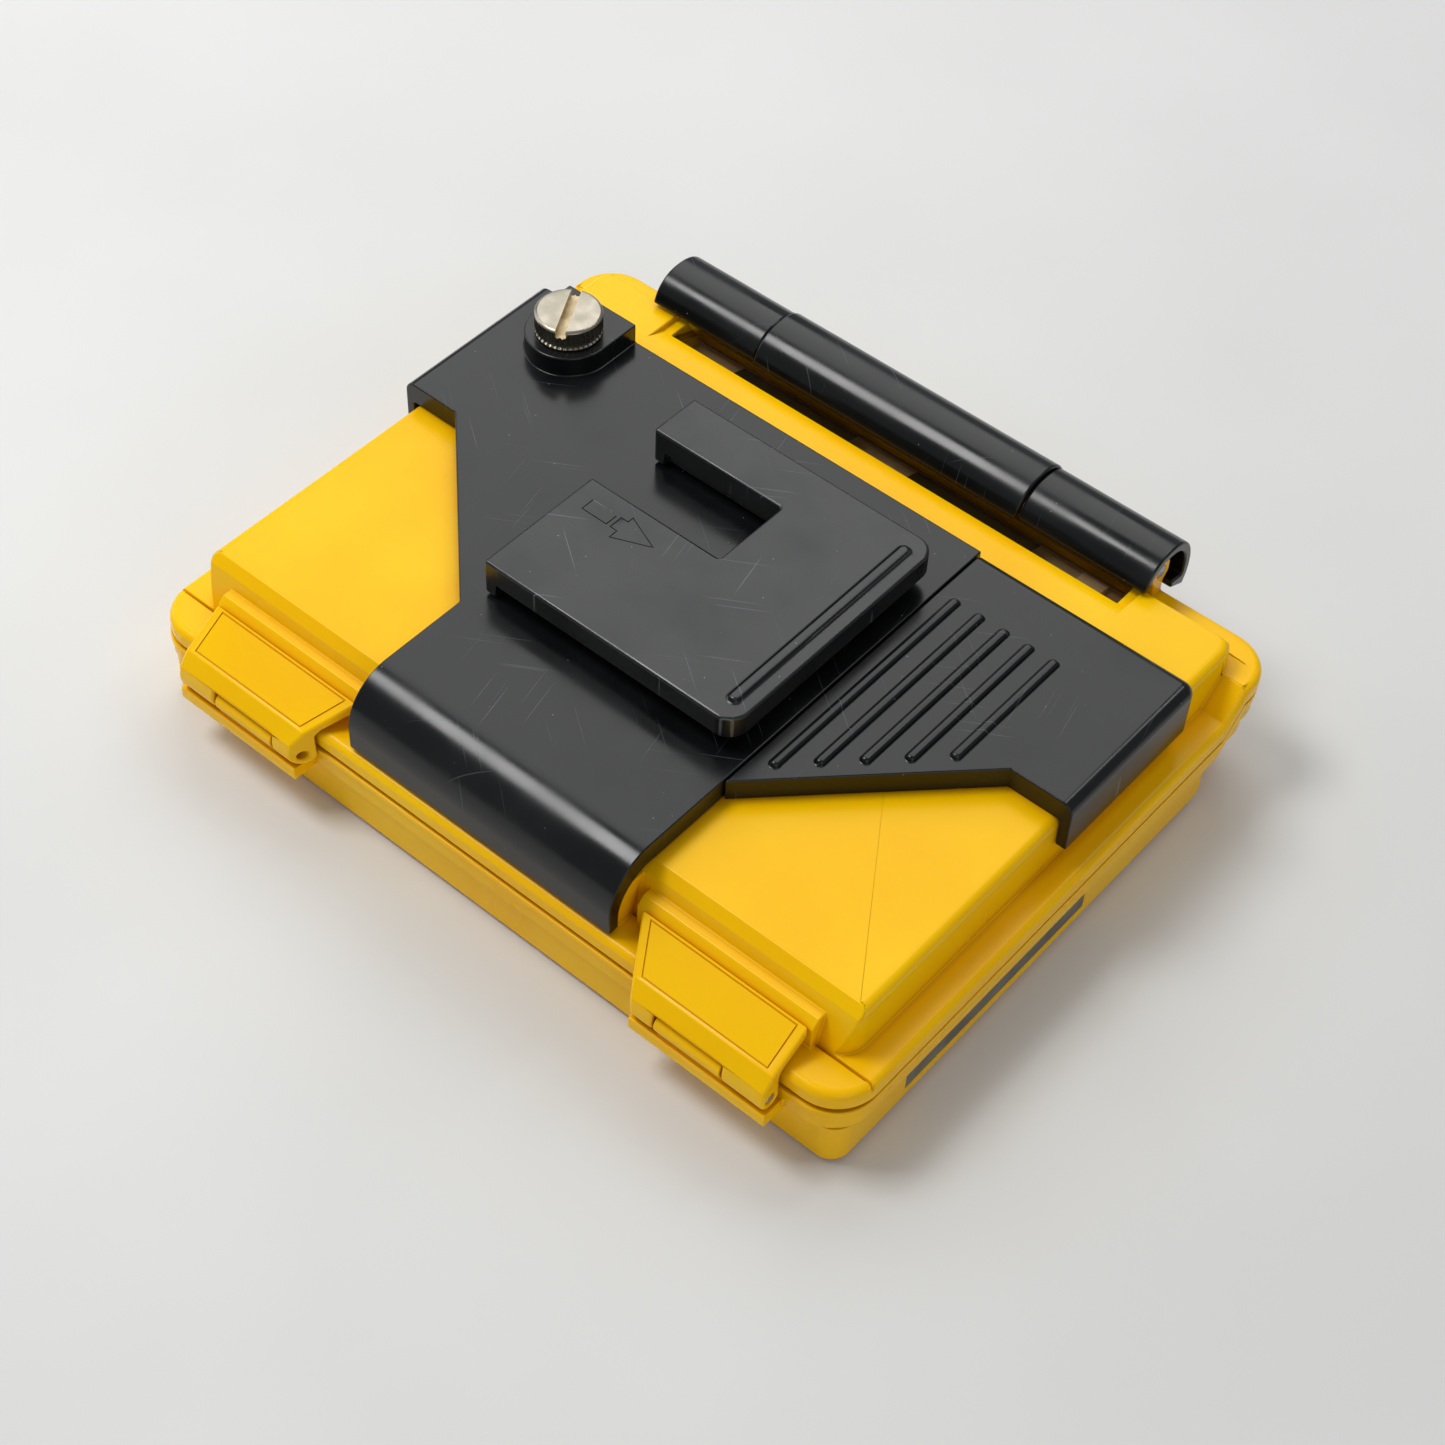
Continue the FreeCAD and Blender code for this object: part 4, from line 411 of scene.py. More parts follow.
# Rolled steel strip and drawn wire: cool grey metal, with fine lines along the rolling.
STEEL = Finish(
    "rolled_steel", "#b4b6b8", "#9fa2a4", 0.34, metallic=1.0, drift=5.0, grain=0.2, grain_depth=0.006,
    streak=(0.08, 1.0, 1.0),
)
# Zinc plated sheet steel: softer and slightly yellow grey, with a cloudy sheen.
ZINC = Finish(
    "zinc_plated_steel", "#b9b7ab", "#a2a49f", 0.38, metallic=1.0, drift=8.0, grain=0.8, grain_depth=0.01,
)
# Turned brass: clean yellow metal with bright highlights.
BRASS = Finish(
    "turned_brass", "#c9a04a", "#b98f3d", 0.28, metallic=1.0, drift=4.0, grain=0.15, grain_depth=0.006,
)
# Moulded nitrile rubber: matt near black that holds a little dust.
RUBBER = Finish(
    "nitrile_rubber", "#161616", "#202020", 0.72, drift=6.0, grain=0.4, grain_depth=0.02, dust=0.3,
)
# Moulded white acetal: waxy off white with a low sheen.
ACETAL = Finish("moulded_acetal_white", "#dedacf", "#d2cdc0", 0.42, drift=9.0, grain=0.5, grain_depth=0.006)
# Grey ABS of wheels and buttons: plain satin mid grey.
GREY = Finish("moulded_abs_grey", "#54565a", "#484a4e", 0.42, drift=7.0, grain=0.3, grain_depth=0.01)
# Black phenolic of switches and sockets: dull charcoal.
WORKS_BLACK = Finish("phenolic_black", "#242427", "#2d2d30", 0.55, drift=6.0, grain=0.3, grain_depth=0.01)
# Glass and epoxy laminate under green solder mask: deep green with an even gloss.
LAMINATE = Finish("epoxy_laminate_green", "#2f5f3e", "#284f34", 0.33, drift=4.0, grain=0.5, grain_depth=0.01)
# Printed plastic sleeve of a dry cell: smooth slate blue with a clear gloss.
CELL = Finish("printed_cell_sleeve", "#3c5566", "#33495a", 0.25, drift=12.0, grain=0.6, grain_depth=0.004)
# Moulded tan styrene of the pointer: pale and matt, so that it shows behind the smoked strip.
TAN = Finish("moulded_pointer_tan", "#ffd9a8", "#f3c994", 0.5, drift=2.0, grain=0.2, grain_depth=0.01)
# Coated card of the dial: warm tan with a soft sheen.
CARD = Finish("dial_card_tan", "#dcb988", "#caa676", 0.45, drift=5.0, grain=0.3, grain_depth=0.004)
# Brushed metal foil of the side plate: dull grey with fine lines along its length.
FOIL = Finish(
    "label_foil_grey", "#7d817e", "#6b6f6c", 0.36, metallic=0.7, drift=5.0, grain=0.3, grain_depth=0.006,
    streak=(1.0, 0.1, 1.0), dust=0.3,
)
# Smoked and clear moulded acrylic: the first dims the dial to amber brown, the second hardly tints the deck.
SMOKED = Pane("smoked_acrylic", "#3a2d1a", 0.06, 0.24)
CLEAR = Pane("clear_acrylic", "#c9cfcc", 0.04, 0.2)
# Painted reflection of the yellow rim in the dial pane: a thin warm line that catches the light.
RIM_REFLECTION = Finish("painted_rim_reflection", "#d8a13a", "#c58f2c", 0.35, metallic=0.8, drift=6.0, grain=0.2, grain_depth=0.004)
# Screen printed black ink: flat and matt.
PRINT = Finish("dial_print_black", "#0d0c0b", "#141210", 0.5, drift=4.0, grain=0.2, grain_depth=0.004)


def new_object(name: str, content: bpy.types.ID) -> Piece:
    """Link a mesh, a lamp or a camera into the scene under a name.

    Args:
        name: The object's name.
        content: What it holds.

    Returns:
        The new object.
    """
    made = bpy.data.objects.new(name, content)
    bpy.context.scene.collection.objects.link(made)
    return made


def mesh_from(name: str, points: np.ndarray, faces: list[list[int]], smooth: bool = True) -> Piece:
    """Make an object from points in millimetres and a list of faces.

    Args:
        name: The piece's name.
        points: An array of n by 3 positions in millimetres.
        faces: Vertex numbers of each face.
        smooth: Whether the faces are shaded smooth.

    Returns:
        The new object.
    """
    mesh = bpy.data.meshes.new(name)
    mesh.from_pydata((points * MM).tolist(), [], faces)
    mesh.validate()
    if smooth:
        shade_smooth(mesh, SHARP)
    mesh.update()
    return new_object(name, mesh)


def tube_faces(rows: int, columns: int, capped: bool = True) -> list[list[int]]:
    """Number the quads of a grid of points that closes on itself sideways, row after row.

    Args:
        rows: Count of rows.
        columns: Count of columns.
        capped: Whether the first and the last row are each closed by one more face.

    Returns:
        The vertex numbers of each face.
    """
    row, column = np.meshgrid(np.arange(rows - 1), np.arange(columns), indexing="ij")
    after = (column + 1) % columns
    here, above = row * columns, (row + 1) * columns
    corners = [here + column, here + after, above + after, above + column]
    faces = np.stack([corner.ravel() for corner in corners], axis=1).tolist()
    if capped:
        faces.append(list(range(columns))[::-1])
        faces.append(list(range((rows - 1) * columns, rows * columns)))
    return faces


def turned(
    name: str, profile: np.ndarray, centre: tuple[float, float], radial: Callable, steps: int,
) -> Piece:
    """Turn a profile about an upright axis.

    A point at angle a and profile place (r, z) lies at centre + r(a) * (cos a, sin a), z.

    Args:
        name: The piece's name.
        profile: Radius and height pairs, from the bottom's middle to the top's middle.
        centre: X and Y of the axis in millimetres.
        radial: Changes a grid of radii by angle and height.
        steps: Points around.

    Returns:
        The new object, closed at both ends.
    """
    angle = np.linspace(0, 2 * math.pi, steps, endpoint=False)
    radius = np.repeat(profile[:, :1], steps, axis=1)
    height = np.repeat(profile[:, 1:], steps, axis=1)
    radius = radial(radius, np.broadcast_to(angle, radius.shape), height)
    points = np.stack([
        centre[0] + radius * np.cos(angle), centre[1] + radius * np.sin(angle), height,
    ], axis=2).reshape(-1, 3)
    return mesh_from(name, points, tube_faces(len(profile), steps))


def rings_at(
    rings: Sequence[tuple[np.ndarray, float]], axes: np.ndarray, origin: Sequence[float],
) -> np.ndarray:
    """Place flat outlines in the part: origin + across * first axis + up * second axis + level * third axis.

    Args:
        rings: Each outline as n by 2 places, with its level.
        axes: Rows are the outlines' two axes and their normal.
        origin: Where the outlines' zero lies, in millimetres.

    Returns:
        All points, ring after ring.
    """
    flat = np.concatenate([np.column_stack([loop, np.full(len(loop), level)]) for loop, level in rings])
    return np.asarray(origin, float) + flat @ axes


def prism(
    name: str, loop: np.ndarray, low: float, high: float, axes: np.ndarray = LEVEL,
    origin: Sequence[float] = (0, 0, 0),
) -> Piece:
    """Raise a closed outline between two levels.

    Args:
        name: The piece's name.
        loop: Outline as n by 2 places, counter-clockwise.
        low: Lower level.
        high: Upper level.
        axes: Rows are the outline's two axes and its normal.
        origin: Where the outline's zero lies.

    Returns:
        The new object.
    """
    points = rings_at([(loop, low), (loop, high)], axes, origin)
    return mesh_from(name, points, tube_faces(2, len(loop)), smooth=False)


def rectangle(left: float, right: float, near_side: float, far_side: float) -> np.ndarray:
    """Draw a rectangle's outline, counter-clockwise from its near left corner."""
    return np.array([[left, near_side], [right, near_side], [right, far_side], [left, far_side]])


def stroke(path: np.ndarray, width: float) -> list[np.ndarray]:
    """Turn a closed line into an outer and an inner outline, half a width each side of it.

    The corner points shift along the mitre: the sum of both neighbours' normals over one plus their dot
    product.

    Args:
        path: Closed line as n by 2 places, counter-clockwise.
        width: Width of the line.

    Returns:
        The outer and the inner outline.
    """
    ahead = np.roll(path, -1, axis=0) - path
    ahead /= np.linalg.norm(ahead, axis=1, keepdims=True)
    normal = np.column_stack([ahead[:, 1], -ahead[:, 0]])
    before = np.roll(normal, 1, axis=0)
    mitre = (normal + before) / (1 + np.sum(normal * before, axis=1, keepdims=True))
    return [path + mitre * width / 2, path - mitre * width / 2]


def groove_cutter(
    name: str, path: np.ndarray, width: float, low: float, high: float, axes: np.ndarray = LEVEL,
    origin: Sequence[float] = (0, 0, 0),
) -> Piece:
    """Make the solid that cuts a groove along a closed line.

    Args:
        name: The cutter's name.
        path: Closed line, counter-clockwise.
        width: Groove width.
        low: Level of the groove's floor.
        high: A level above the surface.
        axes: Rows are the outline's two axes and its normal.
        origin: Where the outline's zero lies.

    Returns:
        The cutter.
    """
    outer, inner = stroke(path, width)
    rings = [(outer, low), (outer, high), (inner, high), (inner, low), (outer, low)]
    faces = tube_faces(len(rings), len(path), capped=False)
    cutter = mesh_from(name, rings_at(rings, axes, origin), faces, smooth=False)
    tidy(cutter.data, FINE_GAP)
    return cutter


def tidy(mesh: Mesh, gap: float, flatten: bool = False, turn: bool = True) -> None:
    """Join a mesh's loose points, and merge its flat faces or point them all outwards.

    Args:
        mesh: The mesh.
        gap: Points closer than this many millimetres become one.
        flatten: Whether flat neighbouring faces become one.
        turn: Whether faces that aren't merged are turned outwards.
    """
    work = bmesh.new()
    work.from_mesh(mesh)
    bmesh.ops.remove_doubles(work, verts=work.verts, dist=gap * MM)
    if flatten:
        bmesh.ops.dissolve_limit(
            work, angle_limit=math.radians(FLAT), verts=work.verts, edges=work.edges,
            use_dissolve_boundaries=False, delimit={"MATERIAL"},
        )
    elif turn:
        bmesh.ops.recalc_face_normals(work, faces=work.faces)
    work.to_mesh(mesh)
    work.free()
    mesh.update()


def dress(piece: Piece, finish: Finish | Pane, body: Body | str, slot: str, *nodes: str) -> Piece:
    """Give a piece its finish and its body, and hide the CAD nodes that it stands for.

    Args:
        piece: The new piece.
        finish: Its finish.
        body: The body that it rides on.
        slot: The record's material slot; not used.
        *nodes: CAD nodes that it replaces.

    Returns:
        The piece.
    """
    piece.data.materials.clear()
    piece.data.materials.append(finish.material())
    piece.data.polygons.foreach_set("material_index", np.zeros(len(piece.data.polygons), int))
    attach(piece, body.value if isinstance(body, Body) else body)
    if nodes:
        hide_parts(*nodes)
    return piece


def shade_smooth(mesh: Mesh, sharp: float) -> None:
    """Shade a mesh smooth except along edges turned by more than an angle in degrees."""
    mesh.polygons.foreach_set("use_smooth", np.ones(len(mesh.polygons), bool))
    mesh.set_sharp_from_angle(angle=math.radians(sharp))


def cut_away(piece: Piece, cutters: Sequence[Piece]) -> None:
    """Cut solids out of a piece and delete them; the cut faces keep material number 1.

    Args:
        piece: The piece, whose modifiers become its mesh.
        cutters: The solids.
    """
    marker = bpy.data.materials.get("cut_mark") or bpy.data.materials.new("cut_mark")
    for cutter in cutters:
        cutter.data.materials.append(marker)
        cut = piece.modifiers.new("cut", "BOOLEAN")
        cut.object = cutter
        cut.operation = "DIFFERENCE"
        cut.solver = "EXACT"
        cut.material_mode = "TRANSFER"
    bake_modifiers(piece)
    for cutter in cutters:
        bpy.data.objects.remove(cutter)


def near(values: np.ndarray, place: float, reach: float) -> np.ndarray:
    """Tell which values lie within a reach of a place."""
    return np.abs(values - place) < reach


def weigh_edges(mesh: Mesh, spare: Callable | None = None) -> None:
    """Mark the edges to be rounded: the sharp ones that touch no cut face and no spared place.

    Args:
        mesh: The mesh.
        spare: Takes edge middles in millimetres as n by 3 and returns which stay sharp, or None.
    """
    work = bmesh.new()
    work.from_mesh(mesh)
    turn = np.array([edge.calc_face_angle(0.0) for edge in work.edges])
    clear = np.array([not any(face.material_index for face in edge.link_faces) for edge in work.edges])
    middle = np.array([(edge.verts[0].co + edge.verts[1].co) / 2 for edge in work.edges]) / MM
    work.free()
    weight = (turn > math.radians(SHARP)) & clear
    if spare:
        weight &= ~spare(middle)
    layer = mesh.attributes.new("bevel_weight_edge", "FLOAT", "EDGE")
    layer.data.foreach_set("value", weight.astype(np.float32))


def softened(
    node: str, name: str, bevel: float, cutters: Sequence[Piece] = (), spare: Callable | None = None,
) -> Piece:
    """Copy a CAD node as a moulded piece: cut its engravings and round its own sharp edges.

    Args:
        node: The CAD node.
        name: The new piece's name.
        bevel: Edge radius in millimetres.
        cutters: Solids to cut away first; they are deleted afterwards.
        spare: Picks the edges that stay sharp by their middles in millimetres, or None.

    Returns:
        The new piece.
    """
    mesh = frame["nodes"][node].data.copy()
    mesh.name = name
    mesh.materials.clear()
    mesh.materials.append(None)
    mesh.polygons.foreach_set("material_index", np.zeros(len(mesh.polygons), int))
    tidy(mesh, NODE_GAP, turn=False)
    piece = new_object(name, mesh)
    if cutters:
        cut_away(piece, cutters)
    tidy(piece.data, NODE_GAP, flatten=True)
    weigh_edges(piece.data, spare)
    shade_smooth(piece.data, SHARP)
    round_off(piece, bevel)
    return piece


def round_off(piece: Piece, bevel: float) -> None:
    """Round a piece's weighted edges, and let its large faces lead the shading.

    Faces of more than four corners are split into well shaped triangles first.

    Args:
        piece: The piece.
        bevel: Edge radius in millimetres, or 0 to leave the edges as they are.
    """
    if bevel:
        edge = piece.modifiers.new("edge", "BEVEL")
        edge.width = bevel * MM
        edge.segments = EDGE_STEPS
        edge.limit_method = "WEIGHT"
        edge.use_clamp_overlap = False
        edge.miter_outer = "MITER_ARC"
    split = piece.modifiers.new("split", "TRIANGULATE")
    split.ngon_method = "BEAUTY"
    split.min_vertices = 5
    weigh = piece.modifiers.new("weigh", "WEIGHTED_NORMAL")
    weigh.keep_sharp = True
    weigh.weight = LARGE_FACES_LEAD


def bake_modifiers(piece: Piece) -> None:
    """Turn a piece's modifiers into its mesh.

    Args:
        piece: The piece.
    """
    bpy.context.view_layer.update()
    graph = bpy.context.evaluated_depsgraph_get()
    final = bpy.data.meshes.new_from_object(piece.evaluated_get(graph))
    piece.modifiers.clear()
    piece.data = final


@dataclass
class Shells:
    """The yellow case and lid, their seals, pane and side plate.

    The fields after the radii place, in millimetres, the edges where walls meet too narrowly to be rounded.
    """

    case_bevel: float = 0.2
    lid_bevel: float = 0.2
    pane_bevel: float = 0.2
    plate_bevel: float = 0.05
    gasket_bevel: float = 0.3
    rim_end: float = 59.0
    rim_front: float = -41.6
    rim_level: float = 15.0
    lug_side: float = 39.8
    lug_front: float = 42.5
    lug_level: float = 19.0
    band_end: float = 50.0
    band_rear: float = 38.0
    band_foot: float = 11.9
    rear_wall: float = 46.2

    def build(self) -> Iterator[Piece]:
        """Make and dress the shells.

        Yields:
            Each finished piece.
        """
        case = softened("rear_case", "case_shell", self.case_bevel, spare=self.case_cusps)
        yield dress(case, YELLOW, Body.CASE, "yellow_shell", "rear_case")
        lid = softened("front_lid", "lid_shell", self.lid_bevel, spare=self.lid_cusps)
        yield dress(lid, YELLOW, Body.LID, "yellow_shell", "front_lid")
        pane = softened("lid_window", "lid_pane", self.pane_bevel)
        yield dress(pane, CLEAR, Body.LID, "clear_pane", "lid_window")
        plate = softened("label_plate", "side_label", self.plate_bevel)
        yield dress(plate, FOIL, Body.LID, "label_film", "label_plate")
        gasket = softened("case_gasket", "gasket", self.gasket_bevel)
        yield dress(gasket, RUBBER, Body.CASE, "black_rubber", "case_gasket")

    def case_cusps(self, middle: np.ndarray) -> np.ndarray:
        """Pick the short edges by the front ends of the rim and by the hinge lugs.

        Args:
            middle: Edge middles in millimetres, n by 3.

        Returns:
            Which edges stay sharp.
        """
        x, y, z = np.abs(middle[:, 0]), middle[:, 1], middle[:, 2]
        rim = (x > self.rim_end) & near(y, self.rim_front, reach=1.0) & near(z, self.rim_level, reach=0.3)
        lugs = near(x, self.lug_side, reach=0.5) & (y > self.lug_front) & near(z, self.lug_level, reach=0.5)
        return rim | lugs

    def lid_cusps(self, middle: np.ndarray) -> np.ndarray:
        """Pick the edges of the rear wall's openings, and those under the band's rear corners.

        Args:
            middle: Edge middles in millimetres, n by 3.

        Returns:
            Which edges stay sharp.
        """
        x, y, z = np.abs(middle[:, 0]), middle[:, 1], middle[:, 2]
        corner = (x > self.band_end) & (y > self.band_rear) & near(z, self.band_foot, reach=0.1)
        return corner | near(y, self.rear_wall, reach=0.05)


@dataclass
class Latches:
    """The two yellow clamps, each with a thin incised panel line."""

    bevel: float = 0.35
    inner_top: float = 26.6
    inner_foot: float = 29.9
    outer: float = 49.8
    tip: tuple[float, float] = (-42.6, 19.4)
    edge: tuple[float, float] = (-48.8, 15.6)
    foot_gap: float = 0.55
    tip_gap: float = 0.5
    line_wide: float = 0.2
    line_deep: float = 0.16
    line_clear: float = 1.2

    def build(self) -> Iterator[Piece]:
        """Cut the panel line into both latches and dress them.

        Yields:
            Each finished piece.
        """
        for side, body in ((-1, Body.LATCH_LEFT), (1, Body.LATCH_RIGHT)):
            name = body.value
            piece = softened(name, name + "_clamp", self.bevel, [self.line(side)])
            yield dress(piece, YELLOW, body, "yellow_shell", name)

    def line(self, side: int) -> Piece:
        """Make the cutter of the panel line on the sloped face.

        The face's own axes are X, the slope's direction from its foot to its tip, and their normal.

        Args:
            side: 1 for the right latch, -1 for the left one.

        Returns:
            The cutter.
        """
        foot = np.array([0, *self.edge])
        tip = np.array([0, *self.tip])
        run = float(np.linalg.norm(tip - foot))
        up = (tip - foot) / run
        along = np.array([1.0, 0, 0])
        axes = np.stack([along, up, np.cross(along, up)])
        low, high = self.foot_gap, run - self.tip_gap
        path = np.array([
            [self.inner_foot, low], [self.outer, low], [self.outer, high], [self.inner_top, high],
        ])
        if side < 0:
            path = path[::-1] * np.array([-1, 1])
        return groove_cutter("panel_line", path, self.line_wide, -self.line_deep, self.line_clear, axes, foot)


@dataclass
class BlackCovers:
    """The black battery cover, the side cover and the belt clip with its outlined arrow.

    The tail holds the left, right, near and far side of a rectangle, and the head a closed line.
    """

    cover_bevel: float = 0.2
    clip_bevel: float = 0.4
    clip_foot: float = 29.6
    arrow_tail: tuple[float, float, float, float] = (-18.2, -13.9, -6.3, -4.1)
    arrow_head: tuple[tuple[float, float], ...] = (
        (-13.2, -6.3), (-12.0, -6.3), (-12.0, -7.8), (-6.5, -5.4), (-12.0, -3.1), (-12.0, -4.1),
        (-13.2, -4.1),
    )
    arrow_wide: float = 0.16
    arrow_level: float = 33.0
    arrow_deep: float = 0.15
    arrow_clear: float = 1.0

    def build(self) -> Iterator[Piece]:
        """Make and dress the covers and the clip.

        Yields:
            Each finished piece.
        """
        cover = softened("battery_cover", "cover_shell", self.cover_bevel)
        yield dress(cover, BLACK, Body.COVER, "black_cover", "battery_cover")
        side = softened("side_cover", "side_shell", self.cover_bevel)
        yield dress(side, BLACK, Body.CASE, "black_cover", "side_cover")
        clip = softened("belt_clip", "clip_plate", self.clip_bevel, self.arrow(), self.under_clip)
        yield dress(clip, BLACK_WORN, Body.CLIP, "black_cover", "belt_clip")

    def under_clip(self, middle: np.ndarray) -> np.ndarray:
        """Pick the edges of the plate's hidden under face."""
        return near(middle[:, 2], self.clip_foot, reach=0.05)

    def arrow(self) -> list[Piece]:
        """Make the cutters of the outlined arrow that shows the way off.

        Returns:
            The cutters of its tail and its head.
        """
        low, high = self.arrow_level - self.arrow_deep, self.arrow_level + self.arrow_clear
        outlines = {"tail": rectangle(*self.arrow_tail), "head": np.array(self.arrow_head)}
        return [groove_cutter(name, path, self.arrow_wide, low, high) for name, path in outlines.items()]


@dataclass
class CoinScrew:
    """The knurled nickel screw with its worn slot.

    Four runs of radius and height pairs make its profile: the shank from the seat's height, the side from
    the head's radius and the seat's height, the crown from the head's radius and its top, and the face from
    its top.
    """

    centre: tuple[float, float] = (-45.8, 21.2)
    seat: float = 30.05
    radius: float = 4.9
    tall: float = 3.5
    shank: tuple[tuple[float, float], ...] = ((2.0, -12.6), (2.0, -0.05), (3.9, 0.0))
    side: tuple[tuple[float, float], ...] = ((-0.25, 0.0), (0.0, 0.25), (0.0, 0.45), (0.0, 1.2), (0.0, 2.0))
    crown: tuple[tuple[float, float], ...] = (
        (0.0, -0.55), (0.0, -0.35), (-0.12, -0.2), (-0.35, -0.03), (-0.5, 0.0),
    )
    face: tuple[tuple[float, float], ...] = ((3.0, 0.0), (0.02, 0.0))
    teeth: int = 40
    steps_per_tooth: int = 8
    tooth_deep: float = 0.3
    low_rim: float = 0.25
    high_rim: float = 0.35
    run_out: float = 0.2
    inward: float = 0.3
    sharp: float = 40.0
    slot_reach: float = 6.0
    slot_wide: float = 1.5
    slot_deep: float = 1.3
    slot_turn: float = 118.0
    slot_clear: float = 1.0
    wall_slack: float = 0.02
    floor_slack: float = 0.05

    @property
    def top(self) -> float:
        """Height of the head's top in millimetres."""
        return self.seat + self.tall

    @property
    def slot_way(self) -> tuple[float, float]:
        """Cosine and sine of the slot's direction."""
        return math.cos(math.radians(self.slot_turn)), math.sin(math.radians(self.slot_turn))

    def knurl(self, radius: np.ndarray, angle: np.ndarray, height: np.ndarray) -> np.ndarray:
        """Press the straight knurl in: the radius dips by a rounded saw of the angle between the two rims.

        Args:
            radius: Radii in millimetres.
            angle: Angles in radians.
            height: Heights in millimetres.

        Returns:
            The new radii.
        """
        local = height - self.seat
        foot = np.clip((local - self.low_rim) / self.run_out, 0, 1)
        head = np.clip((self.tall - self.high_rim - local) / self.run_out, 0, 1)
        rim = np.clip((radius - self.radius + self.inward) / self.inward, 0, 1)
        return radius - self.tooth_deep * foot * head * rim * np.abs(np.cos(angle * self.teeth / 2))

    def build(self) -> Iterator[Piece]:
        """Turn the head, cut its slot and dress it.

        Yields:
            The finished screw.
        """
        profile = np.concatenate([
            np.array(self.shank) + (0, self.seat), np.array(self.side) + (self.radius, self.seat),
            np.array(self.crown) + (self.radius, self.top), np.array(self.face) + (0, self.top),
        ])
        steps = self.teeth * self.steps_per_tooth
        head = turned("coin_screw_head", profile, self.centre, self.knurl, steps)
        tidy(head.data, FINE_GAP)
        cosine, sine = self.slot_way
        axes = np.array([[cosine, sine, 0], [-sine, cosine, 0], [0, 0, 1]])
        loop = rectangle(-self.slot_reach, self.slot_reach, -self.slot_wide / 2, self.slot_wide / 2)
        low, high = self.top - self.slot_deep, self.top + self.slot_clear
        cut_away(head, [prism("slot", loop, low, high, axes, (*self.centre, 0))])
        shade_smooth(head.data, self.sharp)
        dress(head, NICKEL, Body.SCREW, "nickel_screw", "coin_screw")
        self.wear(head)
        yield head

    def wear(self, head: Piece) -> None:
        """Give the slot's walls and floor the worn finish.

        Args:
            head: The screw's head.
        """
        head.data.materials.append(SLOT_WEAR.material())
        centres = np.zeros(len(head.data.polygons) * 3)
        head.data.polygons.foreach_get("center", centres)
        centres = centres.reshape(-1, 3) / MM - np.array([*self.centre, 0])
        cosine, sine = self.slot_way
        across = -sine * centres[:, 0] + cosine * centres[:, 1]
        low = centres[:, 2] < self.top - self.wall_slack
        high = centres[:, 2] > self.top - self.slot_deep - self.floor_slack
        worn = (np.abs(across) < self.slot_wide / 2 + self.wall_slack) & low & high
        head.data.polygons.foreach_set("material_index", worn.astype(int))


